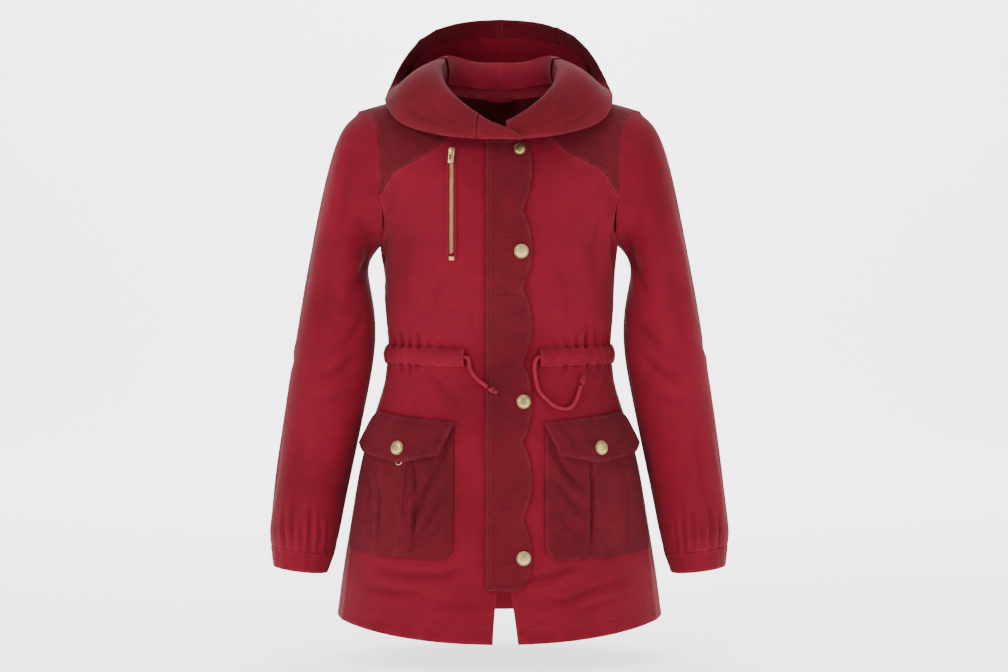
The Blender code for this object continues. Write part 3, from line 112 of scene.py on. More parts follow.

# %% [markdown]
# ## Creases
# Canvas holds a few large soft folds and many short ones where something draws it in: over the waist cord,
# above the cuffs, at the armholes and round the pockets. Each crease is listed as a short path with its own
# width and depth. A valley has a low ridge beside it, as pressed cloth has.

# %% Crease tables
# side, path, half width in mm, depth in mm (a ridge is negative)
WAIST_CREASES = [
    ("photo", [(392, 331), (396, 348), (395, 362)], 3.4, 1.5),
    ("photo", [(399, 326), (404, 349), (401, 371)], 3.0, 1.8),
    ("photo", [(409, 333), (411, 350), (410, 376)], 2.8, 1.5),
    ("photo", [(417, 329), (420, 350), (417, 368)], 3.2, 1.3),
    ("photo", [(428, 337), (430, 350), (431, 364)], 3.2, 0.9),
    ("photo", [(441, 340), (442, 351), (446, 365)], 3.6, 0.8),
    ("photo", [(455, 344), (455, 352), (459, 362)], 3.6, 0.5),
    ("photo", [(605, 333), (602, 348), (605, 363)], 3.2, 1.5),
    ("photo", [(596, 328), (595, 348), (597, 368)], 2.8, 1.7),
    ("photo", [(587, 324), (585, 349), (588, 372)], 2.8, 1.8),
    ("photo", [(577, 333), (576, 350), (575, 366)], 3.0, 1.3),
    ("photo", [(566, 338), (567, 351), (563, 374)], 3.2, 1.0),
    ("photo", [(556, 341), (556, 352), (555, 363)], 3.2, 0.7),
    ("photo", [(386, 368), (377, 392), (371, 405)], 6.5, 1.4),
    ("photo", [(430, 370), (442, 388), (462, 400)], 7.0, 0.9),
    ("photo", [(613, 370), (619, 389), (626, 404)], 6.5, 1.4),
    ("photo", [(606, 372), (603, 388), (594, 403)], 6.0, 1.0),
]
# place across, half width, depth and reach above and below the cord, all in mm
BACK_WAIST = [(-138, 3.4, 1.5, 34), (-122, 3.0, 1.2, 26), (-104, 3.4, 1.7, 38), (-90, 3.0, 1.1, 24),
              (-73, 3.6, 1.6, 33), (-55, 3.0, 1.3, 27), (-40, 3.4, 1.7, 41), (-22, 3.0, 1.1, 25),
              (-8, 3.2, 1.4, 30), (9, 3.2, 1.3, 36), (24, 3.0, 1.6, 25), (41, 3.5, 1.2, 32),
              (57, 3.0, 1.7, 28), (76, 3.4, 1.3, 40), (93, 3.0, 1.5, 26), (107, 3.5, 1.2, 35),
              (124, 3.0, 1.6, 28), (139, 3.3, 1.3, 32)]
SIDE_WAIST = [(-34, 3.2, 1.4, 30), (-19, 3.0, 1.6, 24), (-3, 3.4, 1.3, 36), (13, 3.0, 1.5, 27),
              (28, 3.2, 1.2, 31)]
BODY_CREASES = [
    ("photo", [(384, 208), (386, 232), (383, 262), (386, 292)], 7.5, 1.7),
    ("photo", [(402, 222), (407, 250), (404, 290)], 9.0, 1.2),
    ("photo", [(617, 210), (613, 236), (613, 268)], 7.0, 1.7),
    ("photo", [(600, 216), (592, 246), (597, 286)], 9.0, 1.1),
    ("photo", [(446, 272), (436, 292), (432, 318)], 9.0, 0.9),
    ("photo", [(556, 262), (566, 290), (568, 318)], 9.0, 0.9),
    ("photo", [(470, 300), (473, 322), (469, 336)], 6.0, 0.6),
    ("photo", [(378, 568), (408, 576), (440, 576), (468, 568)], 5.5, 1.4),
    ("photo", [(364, 585), (392, 592), (420, 591)], 5.0, 1.2),
    ("photo", [(425, 600), (455, 606), (484, 603)], 5.5, 1.0),
    ("photo", [(520, 583), (548, 577), (578, 566)], 5.0, 1.5),
    ("photo", [(541, 602), (568, 601), (590, 591), (622, 580)], 5.5, 1.6),
    ("photo", [(562, 611), (590, 607), (618, 598)], 4.5, 0.9),
    ("photo", [(478, 414), (482, 440), (480, 470)], 7.0, 0.6),
    ("photo", [(543, 440), (540, 470), (544, 500)], 6.5, 0.6),
    ("photo", [(478, 520), (484, 548), (481, 575)], 7.0, 0.7),
    ("photo", [(538, 530), (542, 555), (538, 572)], 6.0, 0.7),
    ("photo", [(493, 293), (503, 294), (514, 292)], 2.4, 0.5),
    ("photo", [(492, 401), (502, 400), (512, 402)], 2.2, 0.5),
    ("photo", [(492, 506), (504, 508), (516, 506)], 2.4, 0.4),
    ("photo", [(491, 560), (503, 562), (517, 560)], 2.6, 0.5),
]
POCKET_CREASES = [
    ("photo", [(413, 460), (415, 490), (414, 520), (411, 553)], 2.6, 1.9),
    ("photo", [(590, 460), (592, 490), (592, 520), (590, 553)], 2.6, 1.9),
    ("photo", [(379, 466), (378, 500), (379, 545)], 2.0, 0.6),
    ("photo", [(622, 462), (621, 500), (621, 545)], 2.0, 0.6),
    ("photo", [(448, 448), (434, 472), (420, 500), (411, 532)], 4.6, 1.8),
    ("photo", [(453, 474), (442, 494), (428, 520), (414, 545)], 4.4, 1.4),
    ("photo", [(452, 505), (440, 524), (424, 545)], 3.6, 0.9),
    ("photo", [(366, 466), (370, 492), (367, 520)], 4.6, 1.0),
    ("photo", [(376, 470), (380, 500), (378, 534)], 4.0, 0.8),
    ("photo", [(397, 500), (402, 528), (399, 548)], 4.0, -0.7),
    ("photo", [(553, 452), (564, 470), (577, 484), (587, 492)], 4.4, 1.7),
    ("photo", [(555, 480), (566, 496), (583, 514)], 4.2, 1.3),
    ("photo", [(556, 512), (568, 528), (584, 540)], 3.8, 0.9),
    ("photo", [(622, 470), (628, 496), (628, 528)], 4.6, 1.1),
    ("photo", [(609, 500), (606, 520), (610, 545)], 4.0, -0.6),
    ("photo", [(560, 424), (572, 440), (575, 450)], 4.2, 1.0),
    ("photo", [(442, 430), (436, 444), (438, 454)], 4.2, 1.0),
]
SLEEVE_CREASES = [
    ("photo", [(352, 140), (345, 190), (337, 240)], 11, 1.0),
    ("photo", [(372, 226), (366, 262), (352, 300)], 9.0, 1.6),
    ("photo", [(331, 250), (327, 300), (318, 352)], 12, 1.0),
    ("photo", [(366, 312), (350, 338), (330, 350)], 7.0, 1.2),
    ("photo", [(358, 352), (342, 368), (322, 376)], 7.0, 1.3),
    ("photo", [(352, 388), (334, 398), (312, 400)], 6.5, 1.0),
    ("photo", [(304, 420), (299, 470), (293, 520)], 10, 1.0),
    ("photo", [(642, 132), (652, 190), (662, 240)], 11, 1.0),
    ("photo", [(625, 224), (634, 262), (648, 300)], 9.0, 1.6),
    ("photo", [(668, 250), (676, 300), (684, 350)], 12, 1.0),
    ("photo", [(632, 318), (650, 338), (670, 346)], 7.0, 1.2),
    ("photo", [(640, 352), (658, 370), (680, 378)], 7.0, 1.3),
    ("photo", [(648, 392), (668, 402), (690, 402)], 6.5, 1.0),
    ("photo", [(694, 420), (700, 470), (708, 520)], 10, 1.0),
    ("photo", [(284, 512), (283, 530), (285, 549)], 3.2, 1.3),
    ("photo", [(293, 500), (291, 526), (293, 549)], 3.4, 1.5),
    ("photo", [(302, 518), (301, 534), (302, 550)], 3.0, 1.2),
    ("photo", [(311, 506), (310, 530), (310, 551)], 3.4, 1.5),
    ("photo", [(320, 516), (320, 536), (318, 552)], 3.0, 1.2),
    ("photo", [(329, 522), (328, 538), (326, 553)], 3.0, 1.0),
    ("photo", [(718, 512), (720, 530), (718, 549)], 3.2, 1.3),
    ("photo", [(709, 502), (711, 526), (710, 549)], 3.4, 1.5),
    ("photo", [(700, 518), (702, 534), (701, 550)], 3.0, 1.2),
    ("photo", [(691, 504), (693, 530), (693, 551)], 3.4, 1.5),
    ("photo", [(682, 518), (683, 536), (685, 552)], 3.0, 1.2),
    ("photo", [(673, 524), (675, 538), (677, 553)], 3.0, 1.0),
]
HIDDEN_CREASES = [
    ("back", [(-150, -205), (-128, -240), (-96, -262)], 9.0, 1.5),
    ("back", [(152, -200), (134, -238), (104, -268)], 9.0, 1.6),
    ("back", [(-70, -190), (-62, -230), (-70, -280)], 10, 0.9),
    ("back", [(58, -180), (66, -226), (60, -270)], 10, 0.9),
    ("back", [(-120, -420), (-136, -450), (-142, -490)], 8.0, 1.3),
    ("back", [(118, -415), (130, -455), (138, -500)], 8.0, 1.2),
    ("back", [(-40, -400), (-52, -450), (-46, -510)], 9.0, 0.9),
    ("back", [(46, -405), (50, -460), (58, -530)], 9.0, 1.0),
    ("back", [(-170, -640), (-120, -652), (-70, -642)], 6.0, 1.2),
    ("back", [(60, -655), (110, -662), (168, -648)], 6.0, 1.3),
    ("back", [(-230, -300), (-205, -330), (-178, -340)], 7.5, 1.5),
    ("back", [(-245, -345), (-215, -372), (-188, -378)], 7.0, 1.5),
    ("back", [(228, -296), (206, -326), (176, -334)], 7.5, 1.4),
    ("back", [(244, -350), (214, -376), (186, -384)], 7.0, 1.6),
    ("back", [(-262, -440), (-258, -500), (-262, -550)], 8.0, 1.0),
    ("back", [(262, -430), (262, -495), (256, -555)], 8.0, 1.0),
    ("back", [(-205, -130), (-214, -180), (-220, -230)], 9.0, 1.1),
    ("back", [(206, -126), (216, -176), (222, -232)], 9.0, 1.1),
    ("left", [(-30, -150), (-20, -220), (-26, -300)], 11, 0.9),
    ("left", [(20, -200), (16, -280), (24, -350)], 11, 1.0),
    ("left", [(-40, -330), (-10, -345), (24, -338)], 7.0, 1.0),
    ("left", [(-36, -460), (-30, -520), (-34, -565)], 8.0, 1.0),
    ("right", [(-28, -140), (-20, -215), (-30, -290)], 11, 0.9),
    ("right", [(22, -210), (14, -290), (22, -360)], 11, 1.0),
    ("right", [(-40, -350), (-8, -362), (24, -352)], 7.0, 1.0),
    ("right", [(-30, -455), (-32, -515), (-26, -560)], 8.0, 1.0),
]
# place across and reach above the cuff's seam, in mm
CUFF_BACK = [(218, 24), (230, 38), (243, 28), (256, 42), (268, 27), (280, 34), (290, 24)]
HOOD_CREASES = [
    ("photo", [(436, 26), (437, 33), (435, 41)], 2.6, 0.9),
    ("photo", [(557, 26), (557, 34), (560, 42)], 2.6, 0.9),
    ("photo", [(574, 36), (577, 43), (584, 47)], 2.6, 0.8),
    ("photo", [(426, 30), (420, 40), (412, 46)], 3.0, 0.8),
    ("photo", [(404, 104), (420, 116), (444, 124)], 5.0, 0.9),
    ("photo", [(596, 104), (580, 118), (560, 126)], 5.0, 0.9),
    ("photo", [(430, 92), (444, 106), (462, 118)], 6.0, -0.8),
    ("photo", [(568, 92), (554, 108), (536, 118)], 6.0, -0.8),
    ("back", [(-60, 92), (-66, 40), (-58, -6)], 8.0, 1.3),
    ("back", [(54, 94), (60, 46), (66, 0)], 8.0, 1.3),
    ("back", [(-110, 40), (-112, 6), (-104, -12)], 7.0, 1.1),
    ("back", [(108, 44), (112, 12), (104, -10)], 7.0, 1.1),
    ("back", [(-26, 70), (-20, 30), (-28, 6)], 6.0, 0.8),
    ("back", [(22, 76), (28, 40), (20, 10)], 6.0, 0.8),
]
creases = WAIST_CREASES + BODY_CREASES + POCKET_CREASES + SLEEVE_CREASES + HIDDEN_CREASES + HOOD_CREASES
WAIST_LEVEL = -350
for x, half, depth, reach in BACK_WAIST:
    path = [(x - 2, WAIST_LEVEL + reach), (x, WAIST_LEVEL), (x + 3, WAIST_LEVEL - reach)]
    creases.append(("back", path, half, depth))
for y, half, depth, reach in SIDE_WAIST:
    path = [(y, WAIST_LEVEL + reach), (y, WAIST_LEVEL), (y + 1, WAIST_LEVEL - reach)]
    creases += [("left body", path, half, depth), ("right body", path, half, depth)]
CUFF_SEAM, CUFF_HALF_WIDTH, CUFF_DEPTH = -605, 3.2, 1.3
for x, reach in CUFF_BACK:
    for sign in (-1, 1):
        path = [(sign * x, CUFF_SEAM + reach), (sign * (x + 1), CUFF_SEAM)]
        creases.append(("back", path, CUFF_HALF_WIDTH, CUFF_DEPTH))
print("creases", len(creases))

# %% [markdown]
# ## From a path to a crease
# Each path is walked in small steps, and every step is dropped onto the solids with a ray. A point of the
# cloth then looks for the nearest step of each crease: it sinks there in the shape of a bell curve, and
# rises a little beside it. A crease fades out towards both of its ends.

# %% Lay the creases on the cloth
CREASE_STEP = 2.0  # mm between the points of a laid crease
PRESS = 2.0        # how hard all the creases are pressed
FADE_START, FADE_SPAN, FADE_POWER = 0.06, 0.88, 0.7
CREASE_REACH = 3.2  # how far a crease is felt, in half widths
RIDGE_AT, RIDGE_WIDTH, RIDGE_SHARE = 1.7, 1.1, 0.45
body_tree = tree_of([n for n in CLOTH_NODES if not n.startswith(("sleeve", "cuff"))])


def lay(side, path, half, depth):
    """The crease's points on the cloth, with its half width, depth and how far it has faded at each."""
    laid = []
    tree = body_tree if side.endswith("body") else cloth_tree
    scale = METRES_A_PIXEL / MM if side == "photo" else 1
    legs = [max(1, round(math.dist(p, q) * scale / CREASE_STEP)) for p, q in zip(path, path[1:])]
    total, done = sum(legs), 0
    for (p, q), steps in zip(zip(path, path[1:]), legs):
        for i in range(steps):
            t = i / steps
            place, normal = spot(side.split()[0], p[0] + (q[0] - p[0]) * t, p[1] + (q[1] - p[1]) * t, tree)
            if place:
                share = (done + i) / total
                laid.append((place, normal, share))
        done += steps
    return laid, half * MM, depth * MM * PRESS


def crease_data():
    """Every crease as places, sideways directions, fading, half width and depth."""
    rows = []
    for side, path, half, depth in creases:
        laid, half_m, depth_m = lay(side, path, half, depth)
        if len(laid) < 3:
            continue
        places = np.array([p[:] for p, _, _ in laid])
        normals = np.array([n[:] for _, n, _ in laid])
        fade = np.array([math.sin(math.pi * (FADE_START + FADE_SPAN * s)) ** FADE_POWER for _, _, s in laid])
        along = np.gradient(places, axis=0)
        beside = np.cross(along, normals)
        beside /= np.linalg.norm(beside, axis=1)[:, None] + 1e-9
        rows.append((places, beside, fade, half_m, depth_m))
    return rows


laid_creases = crease_data()
print("laid creases", len(laid_creases))


def crease_height(points):
    """How far the creases press the cloth in or out at each point, in metres."""
    height = np.zeros(len(points))
    for places, beside, fade, half, depth in laid_creases:
        reach = CREASE_REACH * half
        near = np.flatnonzero(((points > places.min(0) - reach) & (points < places.max(0) + reach)).all(1))
        if not len(near):
            continue
        delta = points[near][:, None] - places[None]
        squared = (delta ** 2).sum(2)
        k = squared.argmin(1)
        rows = np.arange(len(near))
        distance = np.sqrt(squared[rows, k])
        across = (delta[rows, k] * beside[k]).sum(1) / half
        valley = np.exp(-(distance / half) ** 2)
        past_end = np.clip(distance / half - np.abs(across), 0, 9)
        ridge = np.exp(-((across - RIDGE_AT) / RIDGE_WIDTH) ** 2) * np.exp(-past_end ** 2)
        height[near] += depth * fade[k] * (RIDGE_SHARE * ridge - valley)
    return height


# %% [markdown]
# ## From solid to cloth
# Each cut piece starts as a copy of its solid: the loose triangles are merged, paired back into four-sided
# faces and subdivided, with the cut edges held sharp. Its outer side is found by walking over the faces from
# edge to edge. Both sides of the wall then move together, so the cloth keeps its thickness in every crease.

# %% Helpers for meshes
MERGE = 0.00002
CUT_EDGE_ANGLE = math.radians(52)
PAIR_FLATNESS, PAIR_SHAPE = math.radians(40), math.radians(120)
LARGE_SHARE = 0.3  # a side of a wall has at least this share of the largest patch
# the sleeves' middle line, in metres: it starts at x and y, spreads outwards and drifts forwards
SLEEVE_X, SLEEVE_SPREAD, SLEEVE_CURVE, SLEEVE_LENGTH = 0.182, 0.074, 1.4, 0.6
SLEEVE_Y, SLEEVE_DRIFT = -0.002, 0.016


def link(name, mesh):
    piece = bpy.data.objects.new(name, mesh)
    bpy.context.scene.collection.objects.link(piece)
    return piece


def mesh_piece(name, points, faces, smooth=True):
    """A new object from points and faces in metres."""
    mesh = bpy.data.meshes.new(name)
    mesh.from_pydata([tuple(p) for p in points], [], faces)
    mesh.update()
    for polygon in mesh.polygons:
        polygon.use_smooth = smooth
    return link(name, mesh)


def only(piece):
    """Selects one object and nothing else."""
    bpy.ops.object.select_all(action="DESELECT")
    bpy.context.view_layer.objects.active = piece
    piece.select_set(True)


def turn_outwards(mesh):
    """Makes every face of a closed mesh look outwards."""
    bm = bmesh.new()
    bm.from_mesh(mesh)
    bmesh.ops.recalc_face_normals(bm, faces=bm.faces)
    bm.to_mesh(mesh)
    bm.free()


def outward(node, points):
    """A rough outward direction at each point, to tell the outer side of a wall from its inner side."""
    if node.startswith("hood"):
        return np.tile([0.0, 0.0, 1.0], (len(points), 1))
    out = points * [1, 1, 0]
    if node.startswith(("sleeve", "cuff")):
        sign = 1 if node.endswith("left") else -1
        share = np.clip(-points[:, 2] / SLEEVE_LENGTH, 0, 1)
        across = sign * (SLEEVE_X + SLEEVE_SPREAD * share ** SLEEVE_CURVE)
        out = out - np.stack([across, SLEEVE_Y - SLEEVE_DRIFT * share, 0 * share], 1)
    return out


def patches(faces, sharp):
    """The faces in groups, each walked from edge to edge without crossing a sharp one."""
    seen, groups = set(), []
    for first in faces:
        if first in seen:
            continue
        group, stack = [], [first]
        seen.add(first)
        while stack:
            face = stack.pop()
            group.append(face)
            for edge in face.edges:
                if edge not in sharp:
                    for other in edge.link_faces:
                        if other not in seen:
                            seen.add(other)
                            stack.append(other)
        groups.append(group)
    return groups


def outward_share(node, group):
    """How much of a patch looks outwards, and its area."""
    centres = np.array([f.calc_center_median()[:] for f in group])
    normals = np.array([f.normal[:] for f in group])
    areas = np.array([f.calc_area() for f in group])
    return float(((outward(node, centres) * normals).sum(1) > 0) @ areas) / areas.sum(), areas.sum()


def cloth_copy(node, level):
    """The node's solid as a subdivided mesh, and which of its faces are on the outer side."""
    mesh = NODES[node].data.copy()
    mesh.materials.clear()
    bm = bmesh.new()
    bm.from_mesh(mesh)
    bmesh.ops.remove_doubles(bm, verts=bm.verts, dist=MERGE)
    bmesh.ops.join_triangles(bm, faces=bm.faces, angle_face_threshold=PAIR_FLATNESS,
                             angle_shape_threshold=PAIR_SHAPE)
    crease = bm.edges.layers.float.get("crease_edge") or bm.edges.layers.float.new("crease_edge")
    outer = bm.faces.layers.int.new("outer")
    sharp = set()
    for edge in bm.edges:
        if len(edge.link_faces) != 2 or edge.calc_face_angle(0) > CUT_EDGE_ANGLE:
            edge[crease] = 1.0
            sharp.add(edge)
    scores = [(outward_share(node, group), group) for group in patches(bm.faces, sharp)]
    largest = max(score[0][1] for score in scores)
    big = [score for score in scores if score[0][1] > LARGE_SHARE * largest]
    best = max(big, key=lambda score: score[0][0])
    for face in best[1]:
        face[outer] = 1
    bm.to_mesh(mesh)
    bm.free()
    for name in ("custom_normal", "sharp_edge", "sharp_face"):
        if name in mesh.attributes:
            mesh.attributes.remove(mesh.attributes[name])
    piece = link(node + "_cloth", mesh)
    only(piece)
    rounding = piece.modifiers.new("rounding", "SUBSURF")
    rounding.levels = rounding.render_levels = level
    bpy.ops.object.modifier_apply(modifier="rounding")
    return piece


def arrays(mesh):
    """The places of a mesh's points, and the four points of each of its faces."""
    points = np.empty(len(mesh.vertices) * 3)
    mesh.vertices.foreach_get("co", points)
    corners = np.empty(len(mesh.loops), int)
    mesh.loops.foreach_get("vertex_index", corners)
    return points.reshape(-1, 3), corners.reshape(-1, 4)


def face_vectors(points, quads):
    """The cross product of each face's diagonals: along its normal, and twice its area long."""
    return np.cross(points[quads[:, 2]] - points[quads[:, 0]], points[quads[:, 3]] - points[quads[:, 1]])


def tree_from(points):
    tree = KDTree(len(points))
    for i, p in enumerate(points):
        tree.insert(p, i)
    tree.balance()
    return tree


print("helpers for", len(CLOTH_NODES), "walls of cloth")

# %% [markdown]
# ## Pressing one piece
# A piece is pressed along its creases, puckered where its seams draw it in and raised a little where its edge
# is turned under. How deep each spot was pressed and how near it lies to the edge are kept with the mesh, and
# the finishes use them later.

# %% Press and pucker one piece
PUCKER_REACH, PUCKER_START, PUCKER_DEPTH = 0.012, 0.0015, 0.00028
TURNED_EDGE, TURNED_SLOPE, TURNED_LIFT = 0.0075, 0.0016, 0.00030  # the double layer of a turned edge
RUBBED_REACH = 0.0022
FULL_FOLD = 0.002      # a height of the cloth that counts as one whole fold
SEAM_SNAP = 0.0012     # points this near to a middle seam are drawn onto it
SMOOTH_ANGLE = math.radians(48)
MIDDLE_SEAM = ("hood_left", "hood_right", "hood_lining_left", "hood_lining_right", "back_left", "back_right")
HOOD_HOLLOW = np.array([0.0, 0.09, 0.07])
LINING_LIFT = 0.0036
outer_side = {}        # node: points, directions and rim of its outer side


def ripple(points, seed):
    """Uneven small waves, about 10 mm long, that are the same on both sides of a wall."""
    x, y, z = (points / MM).T
    across = np.sin(x * 0.61 + 1.3 * np.sin(z * 0.11 + seed))
    up = np.sin(z * 0.57 + 1.1 * np.sin(y * 0.13 + seed * 2))
    return across * up + 0.6 * np.sin(y * 0.67 + z * 0.23 + seed * 3)


def dress(node, level, seed):
    """Makes the node's cloth, creased and puckered, and keeps what the sewing needs."""
    piece = cloth_copy(node, level)
    mesh = piece.data
    points, quads = arrays(mesh)
    is_outer = np.zeros(len(quads), dtype=np.int32)
    mesh.attributes["outer"].data.foreach_get("value", is_outer)
    top = quads[is_outer == 1]
    cross = face_vectors(points, top)
    normals = np.zeros_like(points)
    for k in range(4):
        np.add.at(normals, top[:, k], cross)
    on_top = np.unique(top)
    rim = np.intersect1d(on_top, np.unique(quads[is_outer == 0]))
    normals[on_top] /= np.linalg.norm(normals[on_top], axis=1)[:, None] + 1e-12
    tree = tree_from(points[on_top])
    others = np.setdiff1d(np.arange(len(points)), on_top)
    for i in others:
        normals[i] = normals[on_top[tree.find(points[i])[1]]]
    edges = np.concatenate([top[:, [k, (k + 1) % 4]] for k in range(4)])
    edges = np.unique(np.sort(edges[np.isin(edges, rim).all(1)], axis=1), axis=0)
    counts = {}
    for k in range(4):
        for a, b in np.sort(top[:, [k, (k + 1) % 4]], axis=1):
            counts[a, b] = counts.get((a, b), 0) + 1
    edges = np.array([e for e in edges if counts[tuple(e)] == 1])
    rim_points = np.concatenate([points[edges[:, 0]] * (1 - t) + points[edges[:, 1]] * t
                                 for t in (0, 0.25, 0.5, 0.75)])
    rim_tree = tree_from(rim_points)
    from_rim = np.array([rim_tree.find(p)[2] for p in points])
    pressed = crease_height(points)
    small = (PUCKER_DEPTH * ripple(points, seed) * np.exp(-(from_rim / PUCKER_REACH) ** 2)
             * (1 - np.exp(-(from_rim / PUCKER_START) ** 2)))
    doubled = np.clip((TURNED_EDGE - from_rim) / TURNED_SLOPE, 0, 1)
    height = pressed + small + TURNED_LIFT * doubled
    points = points + normals * height[:, None]
    if node in MIDDLE_SEAM:
        points[np.abs(points[:, 0]) < SEAM_SNAP, 0] = 0.0
    if node.startswith("hood_lining"):
        inward = HOOD_HOLLOW - points
        points += inward * (LINING_LIFT / np.linalg.norm(inward, axis=1))[:, None]
    mesh.vertices.foreach_set("co", points.ravel())
    rubbed = np.exp(-(from_rim / RUBBED_REACH) ** 2)
    for name, values in (("fold", height / FULL_FOLD), ("edge", rubbed), ("hem", doubled)):
        mesh.attributes.new(name, "FLOAT", "POINT").data.foreach_set("value", values.astype(np.float32))
    cloth_map(mesh, points, quads)
    mesh.polygons.foreach_set("use_smooth", np.ones(len(quads), bool))
    mesh.update()
    piece.select_set(True)
    bpy.context.view_layer.objects.active = piece
    bpy.ops.object.shade_smooth_by_angle(angle=SMOOTH_ANGLE)
    piece.select_set(False)
    outer_side[node] = (points, normals, top, rim_points)
    # half of the whole surface, as a wall has two sides
    area = float(np.linalg.norm(face_vectors(points, quads), axis=1).sum() / 4)
    shown = float(np.linalg.norm(cross, axis=1).sum() / 2)
    print(f"{piece.name}: {len(quads) * 2} triangles, {area:.4f} m2, outer side {shown / area:.2f} of it")
    piece["area"] = area
    return piece


def cloth_map(mesh, points, quads):
    """A map in metres, laid on each face along its two flattest directions, so the weave keeps its scale."""
    facing = np.abs(face_vectors(points, quads)).argmax(1)
    across = np.where(facing == 0, 1, 0)
    up = np.where(facing == 2, 1, 2)
    corner = points[quads]
    rows, four = np.arange(len(quads))[:, None], np.arange(4)[None]
    flat = np.stack([corner[rows, four, axis[:, None]] for axis in (across, up)], 2)
    layer = mesh.uv_layers.new(name="cloth")
    layer.data.foreach_set("uv", flat.astype(np.float32).ravel())


print("puckers up to", round(PUCKER_DEPTH * 1.6 / MM, 2), "mm")

# %% [markdown]
# ## The cut pieces
# Most pieces get the finest mesh, because their creases show. The backs, cuffs, hood linings, back casing,
# hood end and hanger loop get one step less, and the tape behind the placket two.

# %% Dress every cut piece
FINE, COARSE, PLAIN = 3, 2, 1
SEED_STEP = 0.7
LEVELS = {"back_left": COARSE, "back_right": COARSE, "cuff_left": COARSE, "cuff_right": COARSE,
          "hood_lining_left": COARSE, "hood_lining_right": COARSE, "hood_end": COARSE, "hanger_loop": COARSE,
          "front_zip": PLAIN, "waist_casing_back": COARSE}
CRIMSON = ["front_left", "front_right", "back_left", "back_right", "sleeve_left", "sleeve_right", "cuff_left",
           "cuff_right", "waist_casing_back", "waist_casing_front_left", "waist_casing_front_right",
           "hood_lining_left", "hood_lining_right", "hood_end", "hanger_loop"]
DARK = ["back_yoke", "front_yoke_left", "front_yoke_right", "hood_left", "hood_right", "placket",
        "pocket_left", "pocket_right", "pocket_flap_left", "pocket_flap_right"]
cloths = {}
for number, node in enumerate(CRIMSON + DARK + ["front_zip"]):
    cloths[node] = dress(node, LEVELS.get(node, FINE), seed=SEED_STEP * number)
print("cut pieces", len(cloths))

# %% [markdown]
# ## Sewing
# Topstitching is what makes canvas look sewn. A row of stitches runs at an even distance from a cut edge, so
# each row is found as the line on the cloth that lies that far from the edge, and short beads of thread are
# laid along it. One bead has only eight faces, because there are thousands.

# %% Rows of stitches
STITCH, STITCH_GAP, THREAD = 0.0026, 0.0009, 0.00033
ROW_START, SHORTEST_ROW, FEWEST_POINTS = 0.001, 0.008, 3
BEAD_SINK, BEAD_SIDE, BEAD_TOP = 0.4, 0.3, 1.35  # in thread radii


def edge_row(node, distance, keep):
    """Lines on the node's outer side that lie at a distance from those of its edges that keep() names."""
    points, normals, top, rim_points = outer_side[node]
    wanted = rim_points[[bool(keep(*(p / MM))) for p in rim_points]]
    if not len(wanted):
        return []
    tree = tree_from(wanted)
    used = np.unique(top)
    away = np.full(len(points), 1.0)
    for i in used:
        away[i] = tree.find(points[i])[2] - distance
    links, crossings = {}, {}

    def crossing(a, b):
        key = (min(a, b), max(a, b))
        if key not in crossings:
            t = away[a] / (away[a] - away[b])
            crossings[key] = tuple(both[a] + (both[b] - both[a]) * t for both in (points, normals))
        return key

    for a, b, c, d in top:
        for triangle in ((a, b, c), (a, c, d)):
            keys = [crossing(p, q) for p, q in zip(triangle, triangle[1:] + triangle[:1])
                    if (away[p] > 0) != (away[q] > 0)]
            if len(keys) == 2:
                links.setdefault(keys[0], []).append(keys[1])
                links.setdefault(keys[1], []).append(keys[0])
    lines, left = [], set(links)
    ends = [k for k in links if len(links[k]) == 1]
    for start in ends + list(links):
        if start not in left:
            continue
        line, here = [start], start
        left.discard(start)
        while True:
            onward = [k for k in links[here] if k in left]
            if not onward:
                break
            here = onward[0]
            left.discard(here)
            line.append(here)
        if len(line) > FEWEST_POINTS:
            lines.append([crossings[k] for k in line])
    return lines


def lengths_along(route):
    """How far along a route each of its points lies."""
    return np.concatenate([[0], np.cumsum(np.linalg.norm(np.diff(route, axis=0), axis=1))])


def sew(name, rows):
    """One piece of thread beads for rows of (node, distance in mm, keep)."""
    points, faces = [], []
    for node, distance, keep in rows:
        for line in edge_row(node, distance * MM, keep):
            places = np.array([p for p, _ in line])
            out = np.array([n for _, n in line])
            lengths = lengths_along(places)
            if lengths[-1] < SHORTEST_ROW:
                continue
            for start in np.arange(ROW_START, lengths[-1] - STITCH, STITCH + STITCH_GAP):
                a, m, b = (np.array([np.interp(start + STITCH * s, lengths, places[:, k]) for k in range(3)])
                           for s in (0, 0.5, 1))
                up = np.array([np.interp(start, lengths, out[:, k]) for k in range(3)])
                up /= np.linalg.norm(up) + 1e-12
                side = np.cross(b - a, up)
                side *= THREAD / (np.linalg.norm(side) + 1e-12)
                first = len(points)
                points += [a - up * THREAD * BEAD_SINK, m + side + up * THREAD * BEAD_SIDE,
                           m + up * THREAD * BEAD_TOP, m - side + up * THREAD * BEAD_SIDE,
                           m - up * THREAD, b - up * THREAD * BEAD_SINK]
                for k in range(4):
                    p, q = first + 1 + k, first + 1 + (k + 1) % 4
                    faces += [(first, q, p), (first + 5, p, q)]
    piece = mesh_piece(name, points, faces)
    print(name, len(faces), "triangles")
    return piece


def anywhere(x, y, z):
    return True


def hem(x, y, z):
    """Only the bottom edge, which rises a little towards the side seams."""
    return z < -708 + 28 * (x / 190) ** 2


def pocket_edge(x, y, z):
    """The pocket's outline without the two edges of its pleat."""
    return z < -622 or not 100 < abs(x) < 156


def yoke_edge(x, y, z):
    """The front yoke's edges apart from the neckline."""
    return z < -20 or abs(x) > 150


def hood_mouth(x, y, z):
    """The outer edge of the hood, far from the neck."""
    return math.hypot(x, y) > 95


